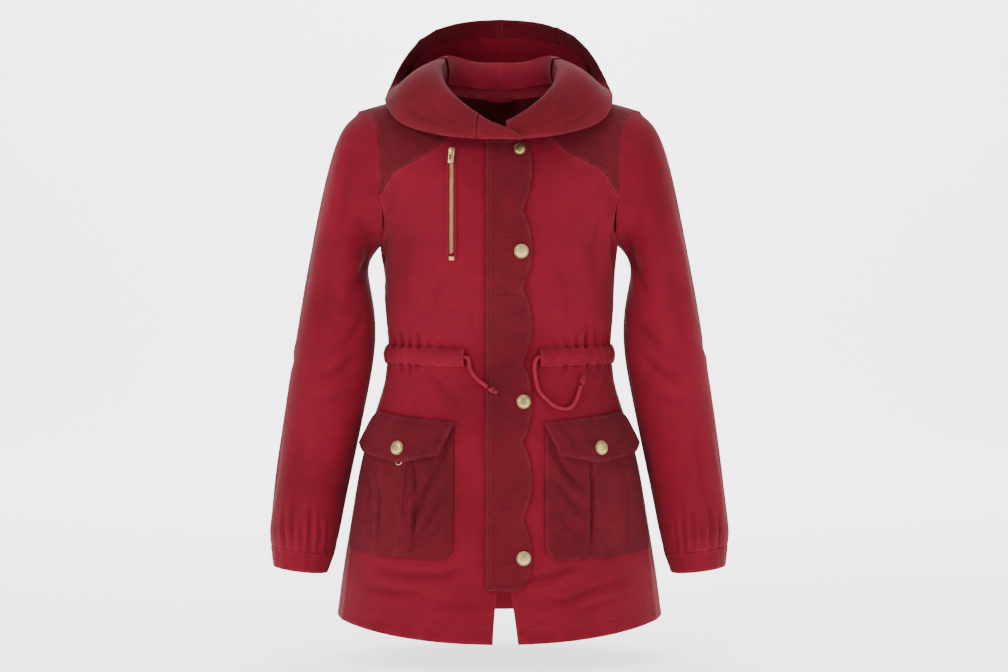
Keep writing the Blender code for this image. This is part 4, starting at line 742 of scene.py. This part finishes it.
# node, distance from the edge in mm, and which edge
rows_crimson = [
    ("front_right", 20, hem), ("front_left", 20, hem), ("back_left", 20, hem), ("back_right", 20, hem),
    ("front_right", 2.2, lambda x, y, z: z > -135 and -150 < x < -20),
    ("front_left", 2.2, lambda x, y, z: z > -135 and 20 < x < 150),
    ("front_right", 3, lambda x, y, z: x < -140 and -215 < z < -120),
    ("front_left", 3, lambda x, y, z: x > 140 and -215 < z < -120),
    ("waist_casing_front_left", 2.0, anywhere), ("waist_casing_front_right", 2.0, anywhere),
    ("waist_casing_back", 2.0, anywhere),
    ("cuff_left", 3.0, anywhere), ("cuff_right", 3.0, anywhere),
    ("back_left", 2.4, lambda x, y, z: abs(x) < 1), ("back_right", 2.4, lambda x, y, z: abs(x) < 1),
]
rows_dark = [
    ("placket", 2.6, lambda x, y, z: x > 20 or z < -640 or z > -80),
    ("placket", 2.2, lambda x, y, z: x < -10), ("placket", 6.5, lambda x, y, z: x < -10),
    ("pocket_left", 2.2, pocket_edge), ("pocket_right", 2.2, pocket_edge),
    ("pocket_flap_left", 3.0, anywhere), ("pocket_flap_right", 3.0, anywhere),
    ("front_yoke_left", 2.4, yoke_edge), ("front_yoke_right", 2.4, yoke_edge),
    ("back_yoke", 2.4, lambda x, y, z: z < -100), ("back_yoke", 7.4, lambda x, y, z: z < -100),
    ("hood_left", 3.0, hood_mouth), ("hood_right", 3.0, hood_mouth),
    ("hood_left", 2.6, lambda x, y, z: abs(x) < 1.5), ("hood_right", 2.6, lambda x, y, z: abs(x) < 1.5),
]
thread_crimson = sew("stitching_crimson", rows_crimson)
thread_dark = sew("stitching_burgundy", rows_dark)

# %% [markdown]
# ## Brass snaps
# A snap's cap is pressed from thin brass: a rolled rim, a groove, then a low dome. It starts as a flat disc
# and is drawn up ring by ring in edit mode. One cap is made and each copy is set on its solid's own axis.

# %% Model one snap cap
CAP_RADIUS, CAP_BASE = 0.009, 0.0012
RING_PIXEL, RING_RADIUS, RING_WIRE, RING_LIFT = (399, 461), 0.0046, 0.0009, 0.0006
CAP_RINGS = [(-0.0004, 0.90), (0.0, 0.84), (0.0013, 0.80), (0.0019, 0.70), (0.0022, 0.56), (0.0024, 0.38),
             (0.0025, 0.18)]  # height over the rim and share of the radius


def snap_cap():
    """A cap of 18 mm that stands on the origin and looks up."""
    bpy.ops.object.select_all(action="DESELECT")
    bpy.ops.mesh.primitive_cylinder_add(vertices=40, radius=CAP_RADIUS, depth=CAP_BASE,
                                        location=(0, 0, CAP_BASE / 2))
    cap = bpy.context.object
    bpy.ops.object.mode_set(mode="EDIT")
    bpy.ops.mesh.select_mode(type="FACE")
    bpy.ops.mesh.select_all(action="DESELECT")
    bm = bmesh.from_edit_mesh(cap.data)
    for face in bm.faces:
        face.select = face.normal.z > 0.9
    bmesh.update_edit_mesh(cap.data)
    height, radius = 0.0, 1.0
    for rise, share in CAP_RINGS:
        bpy.ops.mesh.extrude_region_move(TRANSFORM_OT_translate={"value": (0, 0, rise - height)})
        scale = share / radius
        bpy.ops.transform.resize(value=(scale, scale, 1))
        height, radius = rise, share
    bpy.ops.mesh.select_all(action="SELECT")
    bpy.ops.mesh.normals_make_consistent(inside=False)
    bpy.ops.object.mode_set(mode="OBJECT")
    bpy.ops.object.transform_apply(location=True, rotation=True, scale=True)
    softened = cap.modifiers.new("rolled rim", "BEVEL")
    softened.width, softened.segments = 0.00035, 2
    softened.limit_method, softened.angle_limit = "ANGLE", math.radians(40)
    bpy.ops.object.modifier_apply(modifier="rolled rim")
    bpy.ops.object.shade_smooth_by_angle(angle=math.radians(35))
    return cap


def disc_frame(node):
    """The middle of a round solid's base, its radius and its outward axis."""
    points = np.array([v.co[:] for v in NODES[node].data.vertices])
    middle = points.mean(0)
    _, _, axes = np.linalg.svd(points - middle)
    axis = axes[2] * (1 if axes[2][1] < 0 else -1)
    rise = (points - middle) @ axis
    base = points[rise < rise.min() + 0.0002]
    centre = base.mean(0)
    return centre, np.linalg.norm(base - centre, axis=1).max(), axis


def set_on(mesh, centre, axis, scale):
    """Stands a mesh on a place, with its own Z along the axis there."""
    up = Vector(axis).normalized()
    turn = up.to_track_quat("Z", "Y").to_matrix().to_4x4()
    turn.translation = Vector(centre)
    for v in mesh.vertices:
        v.co = turn @ (v.co * scale)


cap = snap_cap()
SNAPS = [n for n in NODES if "_snap_" in n]
snaps = []
for node in SNAPS:
    centre, radius, axis = disc_frame(node)
    mesh = cap.data.copy()
    set_on(mesh, centre, axis, radius / CAP_RADIUS)
    snaps.append((link(node + "_cap", mesh), node))
bpy.data.objects.remove(cap, do_unlink=True)


def ring_on_pocket():
    """The rim of the lower half of the flap's snap, which shows under the tip of the right flap."""
    bpy.ops.object.select_all(action="DESELECT")
    bpy.ops.mesh.primitive_torus_add(major_segments=36, minor_segments=10, major_radius=RING_RADIUS,
                                     minor_radius=RING_WIRE)
    ring = bpy.context.object
    place, normal = spot("photo", *RING_PIXEL, tree_of(["pocket_right"]))
    set_on(ring.data, place + normal * RING_LIFT, normal, 1)
    for polygon in ring.data.polygons:
        polygon.use_smooth = True
    ring.name = "pocket_snap_ring"
    return ring


snap_ring = ring_on_pocket()
print("snaps", len(snaps))

# %% [markdown]
# ## The chest zip
# The closed chain is two rows of brass teeth that interlock. A tooth is modelled once and copied down both
# sides. A lip of crimson cloth lies along each side of the chain, where the slit in the front was turned in.

# %% Teeth, lips and slider
TOOTH_PITCH = 0.0027
TOOTH_SIZE = (0.0031, 0.00125, 0.0014)
TOOTH_ASIDE, TOOTH_LIFT = 0.0011, 0.0013
# across from the chain's middle and off the cloth, in metres
LIP_PROFILE = [(0.0030, 0.0002), (0.0033, 0.0013), (0.0043, 0.0017), (0.0060, 0.0011), (0.0074, 0.0003),
               (0.0074, -0.0002), (0.0030, -0.0002)]
LIP_ABOVE, LIP_BELOW, LIP_STEP, LIP_CLOSING = 0.0115, 0.0085, 0.0025, 3
zip_points = np.array([v.co[:] for v in NODES["chest_zip_chain"].data.vertices])


def chain_spot(z, x, lift):
    """A place on the front along the zip: across and up in metres, lifted off the cloth."""
    place, normal = spot("front", x / MM, z / MM, panel_tree)
    return np.array(place) + np.array(normal) * lift, np.array(normal)


def tooth():
    """The mesh of one tooth with worn edges."""
    bpy.ops.object.select_all(action="DESELECT")
    bpy.ops.mesh.primitive_cube_add(size=1, location=(0, 0, 0))
    one = bpy.context.object
    one.scale = TOOTH_SIZE
    bpy.ops.object.transform_apply(location=False, rotation=False, scale=True)
    softened = one.modifiers.new("worn edges", "BEVEL")
    softened.width, softened.segments = 0.0003, 1
    bpy.ops.object.modifier_apply(modifier="worn edges")
    mesh = one.data.copy()
    bpy.data.objects.remove(one, do_unlink=True)
    return mesh


tooth_mesh = tooth()
tooth_points = np.array([v.co[:] for v in tooth_mesh.vertices])
tooth_faces = [list(p.vertices) for p in tooth_mesh.polygons]
ZIP_X = float((zip_points[:, 0].min() + zip_points[:, 0].max()) / 2)
zip_top, zip_bottom = float(zip_points[:, 2].max()) - 0.001, float(zip_points[:, 2].min()) + 0.001
points, faces = [], []
count = int((zip_top - zip_bottom) / (TOOTH_PITCH / 2))
for i in range(count):
    z = zip_top - i * TOOTH_PITCH / 2
    side = -1 if i % 2 else 1
    place, normal = chain_spot(z, ZIP_X + side * TOOTH_ASIDE, TOOTH_LIFT)
    up = np.cross(normal, [1, 0, 0])
    up /= np.linalg.norm(up)
    right = np.cross(up, normal)
    up *= -1 if up[2] < 0 else 1
    start = len(points)
    points += [place + right * p[0] + up * p[1] + normal * p[2] for p in tooth_points]
    faces += [[start + k for k in face] for face in tooth_faces]
teeth = mesh_piece("chest_zip_teeth", points, faces, smooth=False)
turn_outwards(teeth.data)


def ring_faces(rings, sides, start=0):
    """The faces of a closed tube whose points come ring by ring."""
    faces = []
    for i in range(rings - 1):
        for k in range(sides):
            a, b = start + i * sides + k, start + i * sides + (k + 1) % sides
            faces.append([a, b, b + sides, a + sides])
    last = start + (rings - 1) * sides
    return faces + [[start + k for k in range(sides)][::-1], [last + k for k in range(sides)]]


def lip(name, side):
    """A soft fold of cloth along one side of the chain."""
    levels = np.arange(zip_top + LIP_ABOVE, zip_bottom - LIP_BELOW, -LIP_STEP)
    ring = []
    for i, z in enumerate(levels):
        close = min(1.0, i / LIP_CLOSING, (len(levels) - 1 - i) / LIP_CLOSING)
        for across, rise in LIP_PROFILE:
            place, normal = chain_spot(z, ZIP_X + side * (across * (0.75 + 0.25 * close)), 0)
            ring.append(place + normal * (rise * (0.5 + 0.5 * close) if rise > 0 else rise))
    piece = mesh_piece(name, ring, ring_faces(len(levels), len(LIP_PROFILE)))
    turn_outwards(piece.data)
    return piece


lips = [lip("chest_zip_lip_left", 1), lip("chest_zip_lip_right", -1)]


def softened_copy(node, name, width):
    """A hard trim's own form with its edges rounded."""
    mesh = NODES[node].data.copy()
    mesh.materials.clear()
    piece = link(name, mesh)
    bm = bmesh.new()
    bm.from_mesh(mesh)
    bmesh.ops.remove_doubles(bm, verts=bm.verts, dist=MERGE)
    bmesh.ops.dissolve_limit(bm, angle_limit=math.radians(3), verts=bm.verts, edges=bm.edges)
    bm.to_mesh(mesh)
    bm.free()
    if "custom_normal" in mesh.attributes:
        mesh.attributes.remove(mesh.attributes["custom_normal"])
    only(piece)
    softened = piece.modifiers.new("worn edges", "BEVEL")
    softened.width, softened.segments = width, 2
    softened.limit_method, softened.angle_limit = "ANGLE", math.radians(30)
    bpy.ops.object.modifier_apply(modifier="worn edges")
    bpy.ops.object.shade_smooth_by_angle(angle=math.radians(40))
    return piece


slider = softened_copy("chest_zip_slider", "chest_zip_slider_body", 0.0006)
pull = softened_copy("chest_zip_pull", "chest_zip_pull_tab", 0.00035)
stop = softened_copy("chest_zip_stop", "chest_zip_bar_tack", 0.0002)
print("teeth", count)

# %% [markdown]
# ## The waist cord
# Each free end of the cord leaves its casing, hangs in a soft curve over the front and ends in an overhand
# knot with a frayed tail. It is a tube along the same route as its solid, with a map along its length for the
# braid.

# %% Cord routes
CORD_RADIUS = 0.0025
KNOT_SIZE, KNOT_CORD = 0.0031, 0.0017
HAIRS, HAIR_SPREAD, HAIR_SIDES = 26, 0.32, 4
HAIR_ROOT, HAIR_MIDDLE, HAIR_TIP = 0.00042, 0.00036, 0.00012  # radii of one frayed hair
CORD_ROUTES = {
    # x, level, how far the cord's middle stands off the cloth, in mm
    "right": [(-52, -353.5, 3.5), (-45, -353.5, 3.5), (-39.5, -355.5, 4.0), (-37.5, -362, 4.6),
              (-36.5, -369, 4.2), (-32.5, -376.5, 3.8), (-26, -384, 4.6), (-19.5, -389, 6.0),
              (-14.2, -393, 6.6)],
    "left": [(62, -353.5, 3.5), (55, -353.5, 3.5), (48.5, -354.5, 3.8), (44.8, -361, 4.0), (44.3, -372, 3.6),
             (46.8, -388, 3.4), (51, -399, 3.2), (59.5, -408, 3.2), (69, -416, 3.2), (80, -420, 3.2),
             (90, -418, 3.4), (96, -410, 3.8), (99.5, -400, 4.0), (102, -391.5, 4.2)],
}
KNOT_PLACES = {"right": (-9.5, -396.5, 7.3), "left": (103.6, -386, 4.8)}


def on_front(x, z, lift):
    """A place off the front, all in mm."""
    place, normal = spot("front", x, z, panel_tree)
    return np.array(place) + np.array(normal) * lift * MM


def smooth_route(points, per_leg):
    """A curve through the points, without corners."""
    points = np.array(points)
    ends = np.vstack([2 * points[0] - points[1], points, 2 * points[-1] - points[-2]])
    out = []
    for i in range(1, len(ends) - 2):
        a, b, c, d = ends[i - 1:i + 3]
        for t in np.arange(per_leg) / per_leg:
            out.append(0.5 * (2 * b + (c - a) * t + (2 * a - 5 * b + 4 * c - d) * t ** 2
                              + (3 * b - a - 3 * c + d) * t ** 3))
    return np.array(out + [points[-1]])


def tube(name, route, radius, sides=12):
    """A closed tube along a route, with a map whose second axis runs along it in metres."""
    along = np.gradient(route, axis=0)
    along /= np.linalg.norm(along, axis=1)[:, None]
    side = np.cross(along[0], [0, 0, 1.0])
    if np.linalg.norm(side) < 0.1:
        side = np.cross(along[0], [0, 1.0, 0])
    points = []
    radii = np.broadcast_to(radius, len(route))
    for p, t, r in zip(route, along, radii):
        side = side - t * (side @ t)
        side /= np.linalg.norm(side)
        up = np.cross(t, side)
        for k in range(sides):
            turn = 2 * math.pi * k / sides
            points.append(p + (side * math.cos(turn) + up * math.sin(turn)) * r)
    piece = mesh_piece(name, points, ring_faces(len(route), sides))
    turn_outwards(piece.data)
    lengths = lengths_along(route)
    layer = piece.data.uv_layers.new(name="cloth")
    for polygon in piece.data.polygons:
        for loop in polygon.loop_indices:
            v = piece.data.loops[loop].vertex_index
            layer.data[loop].uv = ((v % sides) / sides * 2 * math.pi * CORD_RADIUS, lengths[v // sides])
    return piece


def knot_route(size):
    """An overhand knot, drawn as the closed line of a trefoil."""
    turns = np.linspace(0, 2 * math.pi, 60, endpoint=False)
    return np.stack([np.sin(turns) + 1.6 * np.sin(2 * turns), np.cos(turns) - 1.6 * np.cos(2 * turns),
                     -1.2 * np.sin(3 * turns)], 1) / 3.2 * size


def closed_tube(name, route, radius, sides=10):
    """A tube whose end meets its start."""
    return tube(name, np.vstack([route, route[:1]]), radius, sides)


def route_length(route):
    return float(np.linalg.norm(np.diff(route, axis=0), axis=1).sum())


cords, knots, tails = {}, {}, {}
rng = np.random.default_rng(7)
for side in ("right", "left"):
    route = smooth_route([on_front(*p) for p in CORD_ROUTES[side]], 6)
    cords[side] = (tube(f"drawcord_{side}_braid", route, CORD_RADIUS), route)
    middle = on_front(*KNOT_PLACES[side])
    onward = route[-1] - route[-4]
    onward /= np.linalg.norm(onward)
    out = np.array([0, -1.0, 0])
    across = np.cross(onward, out)
    across /= np.linalg.norm(across)
    out = np.cross(across, onward)
    basis = np.stack([onward, across, out])
    knots[side] = closed_tube(f"drawcord_{side}_knot", middle + knot_route(KNOT_SIZE) @ basis, KNOT_CORD)
    points, faces = [], []
    for _ in range(HAIRS):
        spread = rng.normal(0, HAIR_SPREAD, 2)
        aim = onward + across * spread[0] + out * spread[1] * 0.5
        length = rng.uniform(0.004, 0.0075)
        root = middle + onward * 0.002 + (across * spread[0] + out * spread[1]) * 0.0018
        tip = root + aim / np.linalg.norm(aim) * length
        start = len(points)
        for place, r in ((root, HAIR_ROOT), ((root + tip) / 2, HAIR_MIDDLE), (tip, HAIR_TIP)):
            for k in range(HAIR_SIDES):
                turn = 2 * math.pi / HAIR_SIDES * k
                points.append(place + (across * math.cos(turn) + out * math.sin(turn)) * r)
        faces += ring_faces(3, HAIR_SIDES, start)
    tails[side] = mesh_piece(f"drawcord_{side}_frayed_end", points, faces)
print("cords", {side: round(route_length(route), 4) for side, (_, route) in cords.items()})

# %% [markdown]
# ## Mixing finishes
# Shader maths is easier to read as plain expressions. The small class below wraps a socket, so that adding or
# multiplying two of them adds the Math node between them. Every other node comes from one method.

# %% Sockets that can be added and multiplied


class Value:
    """A node's output, usable in Python arithmetic."""

    def __init__(self, finish, socket):
        self.finish, self.socket = finish, socket

    def maths(self, operation, *values):
        return self.finish.node("ShaderNodeMath", {"operation": operation}, values)

    def __add__(self, other):
        return self.maths("ADD", self, other)

    def __sub__(self, other):
        return self.maths("SUBTRACT", self, other)

    def __rsub__(self, other):
        return self.maths("SUBTRACT", other, self)

    def __mul__(self, other):
        return self.maths("MULTIPLY", self, other)

    __radd__, __rmul__ = __add__, __mul__

    def sine(self):
        return self.maths("SINE", self)

    def size(self):
        return self.maths("ABSOLUTE", self)

    def between(self, low, high):
        return self.finish.node("ShaderNodeMapRange", {"interpolation_type": "SMOOTHSTEP"}, [self, low, high])


class Finish:
    """A material and the one method that adds its nodes."""

    def __init__(self, name):
        self.material = bpy.data.materials.new(name)
        self.material.use_nodes = True
        self.tree = self.material.node_tree
        self.shader = self.tree.nodes["Principled BSDF"]

    def node(self, kind, settings=(), values=(), named=(), out=0):
        made = self.tree.nodes.new(kind)
        for key, value in dict(settings).items():
            setattr(made, key, value)
        pairs = list(enumerate(values)) + list(dict(named).items())
        for key, value in pairs:
            if isinstance(value, Value):
                self.tree.links.new(value.socket, made.inputs[key])
            elif value is not None:
                made.inputs[key].default_value = value
        return Value(self, made.outputs[out])

    def feed(self, socket, value):
        """Gives one of the shader's sockets a number, a colour or another node's output."""
        if isinstance(value, Value):
            self.tree.links.new(value.socket, self.shader.inputs[socket])
        else:
            self.shader.inputs[socket].default_value = value

    def attribute(self, name):
        return self.node("ShaderNodeAttribute", {"attribute_name": name}, out=2)

    def noise(self, where, scale, detail=3.0, rough=0.55):
        return self.node("ShaderNodeTexNoise", {"noise_dimensions": "3D"}, named={
            "Vector": where, "Scale": scale, "Detail": detail, "Roughness": rough})

    def mix(self, share, first, second):
        """The first colour, with a share of the second."""
        made = self.tree.nodes.new("ShaderNodeMix")
        made.data_type = "RGBA"
        for key, value in ((0, share), (6, first), (7, second)):
            if isinstance(value, Value):
                self.tree.links.new(value.socket, made.inputs[key])
            else:
                made.inputs[key].default_value = value
        return Value(self, made.outputs[2])

    def stretched(self, where, scale):
        return self.node("ShaderNodeMapping", {}, named={"Vector": where, "Scale": scale})

    def place(self):
        return self.node("ShaderNodeTexCoord", out=3)

    def cloth_map(self):
        """The cloth's map, and its two directions one by one."""
        cloth = self.node("ShaderNodeUVMap", {"uv_map": "cloth"})
        apart = self.node("ShaderNodeSeparateXYZ", {}, [cloth])
        return cloth, apart, Value(self, apart.socket.node.outputs[1])

    def bump(self, strength, distance, height):
        self.feed("Normal", self.node("ShaderNodeBump", {}, named={
            "Strength": strength, "Distance": distance, "Height": height}))


print("sockets ready")

# %% [markdown]
# ## Canvas
# The cloth is a washed plain weave. Thick and thin weft threads give it faint sideways slubs, the colour has
# gone uneven in the wash, and it is rubbed paler along turned edges. Painted shade darkens the creases, and a
# painted highlight lightens the ridges beside them and the tops of the puckers. Threads and slubs are both in
# the bump, and the sheen is the fuzz of brushed cotton.

# %% Canvas finish
THREAD_PITCH = 0.00062


def canvas(name, slub, colour, dark_tone_and_shade, rubbed):
    """Woven cloth: its colour, a darker one for its uneven tone and the painted shade in the creases, and a
    paler one for its rubbed edges and the painted highlight on the ridges.
    """
    f = Finish(name)
    cloth, u, v = f.cloth_map()
    place = f.place()
    warp = (u * (2 * math.pi / THREAD_PITCH)).sine()
    weft = (v * (2 * math.pi / THREAD_PITCH)).sine()
    weave = (warp * weft).size() * 0.6 + (weft * 0.2 + 0.2)
    wash = f.noise(place, 9.0, 4.0)
    mottled = f.noise(place, 46.0, 5.0, 0.6)
    slubs = f.noise(f.stretched(cloth, (60, 1000, 1)), 1.0, 2.0)
    fine = f.noise(f.stretched(cloth, (900, 2100, 1)), 1.0, 2.0)
    edge, fold, turned = f.attribute("edge"), f.attribute("fold"), f.attribute("hem")
    tone = wash * 0.5 + mottled * 0.3 + slubs * (slub * 0.5) + fine * 0.25
    ramp = f.node("ShaderNodeMapRange", {}, [tone, 0.38 + 0.25 * slub, 0.72 + 0.25 * slub])
    base = f.mix(ramp, dark_tone_and_shade, colour)
    # painted shade: the colour darkens where the creases press the cloth in
    pressed = f.mix((fold * -0.35).between(0.0, 0.6), base, dark_tone_and_shade)
    # paler at the rubbed edges, which is wear, and on crease ridges and pucker tops, which is painted
    # highlight
    worn = (edge * 0.2 + turned * 0.04) * mottled.between(0.38, 0.62) + fold.between(0.3, 1.4) * 0.08
    f.feed("Base Color", f.mix(worn, pressed, rubbed))
    f.feed("Roughness", mottled * 0.16 + weave * 0.06 + 0.76)
    height = weave * 0.00006 + slubs * 0.00011 * slub + fine * 0.00006
    f.bump(0.75, 1.0, height)
    f.feed("Sheen Weight", 0.03)
    f.feed("Sheen Roughness", 0.5)
    f.feed("Specular IOR Level", 0.12)
    return f.material


# the rubbed colour is both edge wear and the painted highlight on ridges; the darker colour is both uneven
# tone and painted crease shade
crimson = canvas("crimson_canvas", 0.4, colour=(0.192, 0.0042, 0.0165, 1),
                 dark_tone_and_shade=(0.108, 0.0024, 0.0092, 1), rubbed=(0.28, 0.022, 0.042, 1))
burgundy = canvas("burgundy_canvas", 0.9, colour=(0.122, 0.0046, 0.0118, 1),
                  dark_tone_and_shade=(0.062, 0.0024, 0.0060, 1), rubbed=(0.18, 0.020, 0.032, 1))
# facing: a lighter copy of the burgundy canvas, painted light for the hood, which is the same cloth as the
# yokes
facing = canvas("lit_burgundy_canvas", 0.6, colour=(0.148, 0.0048, 0.0135, 1),
                dark_tone_and_shade=(0.080, 0.0028, 0.0072, 1), rubbed=(0.20, 0.020, 0.033, 1))
print("canvases", [material.name for material in (crimson, burgundy, facing)])

# %% [markdown]
# ## Thread and braid
# Sewing thread is smooth and takes the colour of its cloth. The waist cord is a round braid, whose strands
# are two slanting waves on its map: where either of them is high, a strand lies on top, and painted shade
# darkens the gaps between them.

# %% Thread and braid finishes
STRANDS = 8
BRAID_SLANT = 3300.0


def thread(name, colour, rubbed):
    f = Finish(name)
    place = f.place()
    twist = f.noise(f.stretched(place, (2600, 2600, 900)), 1.0, 2.0)
    f.feed("Base Color", f.mix(f.noise(place, 60.0, 3.0), colour, rubbed))
    f.feed("Roughness", twist * 0.2 + 0.55)
    f.bump(0.5, 0.0002, twist)
    return f.material


def braid(name, colour, dark_tone_and_shade, rubbed):
    """A round braid: two sets of strands that cross on the slant."""
    f = Finish(name)
    _, u, v = f.cloth_map()
    place = f.place()
    around = 2 * math.pi / (2 * math.pi * CORD_RADIUS / STRANDS)
    one = (u * around + v * BRAID_SLANT).sine()
    two = (u * around + v * -BRAID_SLANT).sine()
    strands = one.maths("MAXIMUM", one, two) * 0.5 + 0.5
    mottled = f.noise(place, 240.0, 4.0)
    # painted shade: the cord darkens in the gaps between its strands
    base = f.mix(strands.between(0.15, 0.9), dark_tone_and_shade, colour)
    f.feed("Base Color", f.mix(mottled.between(0.5, 0.75) * 0.35, base, rubbed))
    f.feed("Roughness", mottled * 0.2 + 0.68)
    f.bump(0.8, 1.0, strands * 0.0003 + mottled * 0.0001)
    f.feed("Sheen Weight", 0.03)
    f.feed("Specular IOR Level", 0.2)
    return f.material


crimson_thread = thread("crimson_thread", (0.17, 0.006, 0.018, 1), (0.26, 0.020, 0.036, 1))
burgundy_thread = thread("burgundy_thread", (0.11, 0.006, 0.013, 1), (0.18, 0.020, 0.030, 1))
cord_braid = braid("cord_braid", (0.26, 0.0065, 0.023, 1), (0.12, 0.003, 0.010, 1), (0.33, 0.025, 0.045, 1))
print("threads and braid", [material.name for material in (crimson_thread, burgundy_thread, cord_braid)])

# %% [markdown]
# ## Brass
# The trims are pale antique brass: satin on the high parts, where fingers polish them, and browner in the
# grooves. Grain and tarnish come from two noises, and the brightness from the shape itself, through its
# pointiness.

# %% Brass finish


def brass(name, bright, dull, rough):
    f = Finish(name)
    place = f.place()
    grain = f.noise(place, 1400.0, 3.0)
    tarnish = f.noise(place, 900.0, 4.0, 0.6)
    point = f.node("ShaderNodeNewGeometry", out="Pointiness")
    shown = point.between(0.47, 0.53)
    share = (shown * 0.65 + tarnish.between(0.35, 0.65) * 0.5).between(0.15, 0.85)
    f.feed("Base Color", f.mix(share, dull, bright))
    f.feed("Metallic", 1.0)
    f.feed("Roughness", tarnish * 0.18 + grain * 0.08 + rough)
    f.bump(0.25, 0.0001, grain)
    return f.material


pale_brass = brass("pale_brass", (0.62, 0.47, 0.20, 1), (0.26, 0.17, 0.06, 1), 0.27)
chain_brass = brass("chain_brass", (0.56, 0.38, 0.17, 1), (0.24, 0.14, 0.06, 1), 0.32)
print("brass", [material.name for material in (pale_brass, chain_brass)])

# %% [markdown]
# ## Who rides on what
# The pull tab of the chest zip is the only part that moves by itself. All the rest is one body. A cut piece's
# area is measured on its mesh, but its width and length are estimates, as no piece was unrolled.

# %% Ride, replace and declare


def fit_out(piece, material, slot, body="body", *nodes):
    """Gives a piece its finish, the body that it rides on and the solids that it replaces. Its slot is not
    used.
    """
    piece.data.materials.clear()
    piece.data.materials.append(material)
    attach(piece, body)
    if nodes:
        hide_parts(*nodes)


# estimated width and length in metres of what shows of each piece, laid flat
PAIRED_CUTS = {
    "front": (0.26, 0.66), "back": (0.25, 0.615), "front_yoke": (0.16, 0.17), "sleeve": (0.42, 0.60),
    "cuff": (0.24, 0.03), "hood": (0.34, 0.36), "hood_lining": (0.24, 0.26), "pocket": (0.19, 0.18),
    "pocket_flap": (0.17, 0.07), "waist_casing_front": (0.028, 0.16),
}
CUTS = {
    "back_yoke": (0.40, 0.19), "hood_end": (0.07, 0.07), "placket": (0.06, 0.58),
    "waist_casing_back": (0.032, 0.41), "hanger_loop": (0.01, 0.04), "front_zip": (0.027, 0.51),
}
for name, size in PAIRED_CUTS.items():
    CUTS[name + "_left"] = CUTS[name + "_right"] = size
for node, piece in cloths.items():
    if node == "front_zip":
        fit_out(piece, burgundy, "zip_tape", "body", node)
    # the hood wears facing, the lighter copy of the burgundy canvas, as painted light, and the hood end wears
    # it too
    elif node in ("hood_end", "hood_left", "hood_right"):
        fit_out(piece, facing, "bright_red_canvas" if node == "hood_end" else "burgundy_canvas", "body", node)
    elif node in CRIMSON:
        fit_out(piece, crimson, "bright_red_canvas", "body", node)
    else:
        fit_out(piece, burgundy, "burgundy_canvas", "body", node)
fit_out(thread_crimson, crimson_thread, "bright_red_canvas")
fit_out(thread_dark, burgundy_thread, "burgundy_canvas")
for piece, node in snaps:
    fit_out(piece, pale_brass, "antique_brass", "body", node)
fit_out(snap_ring, pale_brass, "antique_brass")
fit_out(teeth, chain_brass, "antique_brass", "body", "chest_zip_chain")
for piece in lips:
    fit_out(piece, crimson, "bright_red_canvas")
fit_out(slider, pale_brass, "antique_brass", "body", "chest_zip_slider")
fit_out(stop, chain_brass, "antique_brass", "body", "chest_zip_stop")
fit_out(pull, pale_brass, "antique_brass", "zip_pull", "chest_zip_pull")
for side in ("right", "left"):
    cord, route = cords[side]
    fit_out(cord, cord_braid, "red_cord", "body", f"drawcord_{side}")
    fit_out(knots[side], cord_braid, "red_cord", "body", f"drawcord_knot_{side}")
    fit_out(tails[side], crimson_thread, "red_cord")
print("sheets", len(cloths), "cords", len(cords))

# %% [markdown]
# ## Floor and light
# A plain pale floor rises into a backdrop with a wide cove. Large soft lamps stand left and right of the
# camera and overhead, so the folds read gently and the shadow under the hem stays pale. A fourth lamp lights
# the backdrop, and the paint gives off light of its own, so that floor and backdrop come out nearly white.

# %% Stage
FLOOR = -0.748
STAGE_FRONT, STAGE_HALF_WIDTH = -4.0, 6.0
COVE_START, COVE_RADIUS, WALL_TOP = 3.4, 1.2, 5.0
PAINT_GLOW = 1.8
profile = [(STAGE_FRONT, FLOOR), (COVE_START, FLOOR)]
profile += [(COVE_START + COVE_RADIUS * math.sin(t), FLOOR + COVE_RADIUS * (1 - math.cos(t)))
            for t in np.linspace(0.1, math.pi / 2, 14)]
profile += [(COVE_START + COVE_RADIUS, WALL_TOP)]
stage_points = [(x, y, z) for y, z in profile for x in (-STAGE_HALF_WIDTH, STAGE_HALF_WIDTH)]
stage_faces = [[2 * i, 2 * i + 1, 2 * i + 3, 2 * i + 2] for i in range(len(profile) - 1)]
floor = mesh_piece("floor", stage_points, stage_faces)
paint = Finish("pale_floor")
cloudy = paint.noise(paint.place(), 3.0)
paint.feed("Base Color", paint.mix(cloudy, (0.90, 0.90, 0.90, 1), (0.93, 0.93, 0.93, 1)))
paint.feed("Roughness", 0.9)
paint.feed("Emission Color", (1, 1, 1, 1))
paint.feed("Emission Strength", PAINT_GLOW)
floor.data.materials.append(paint.material)


def lamp(name, place, aim, size, power):
    """A round soft lamp at a place, turned to its aim."""
    light = bpy.data.lights.new(name, "AREA")
    light.shape, light.size, light.energy = "DISK", size, power
    holder = bpy.data.objects.new(name, light)
    holder.location = place
    holder.rotation_euler = (Vector(aim) - Vector(place)).to_track_quat("-Z", "Y").to_euler()
    bpy.context.scene.collection.objects.link(holder)


lamp("key", (-2.0, -2.3, 1.5), (0, 0, -0.35), 1.3, 62)
lamp("fill", (2.3, -2.1, 0.6), (0, 0, -0.35), 1.6, 24)
lamp("top", (0.1, -0.2, 2.4), (0, 0.1, -0.3), 1.6, 40)
lamp("backdrop", (0, 2.2, 3.0), (0, 4.5, 0.4), 2.6, 240)
world = bpy.data.worlds.new("studio")
world.use_nodes = True
world.node_tree.nodes["Background"].inputs[0].default_value = (0.95, 0.96, 1.0, 1)
world.node_tree.nodes["Background"].inputs[1].default_value = 0.5
bpy.context.scene.world = world
print("stage ready")
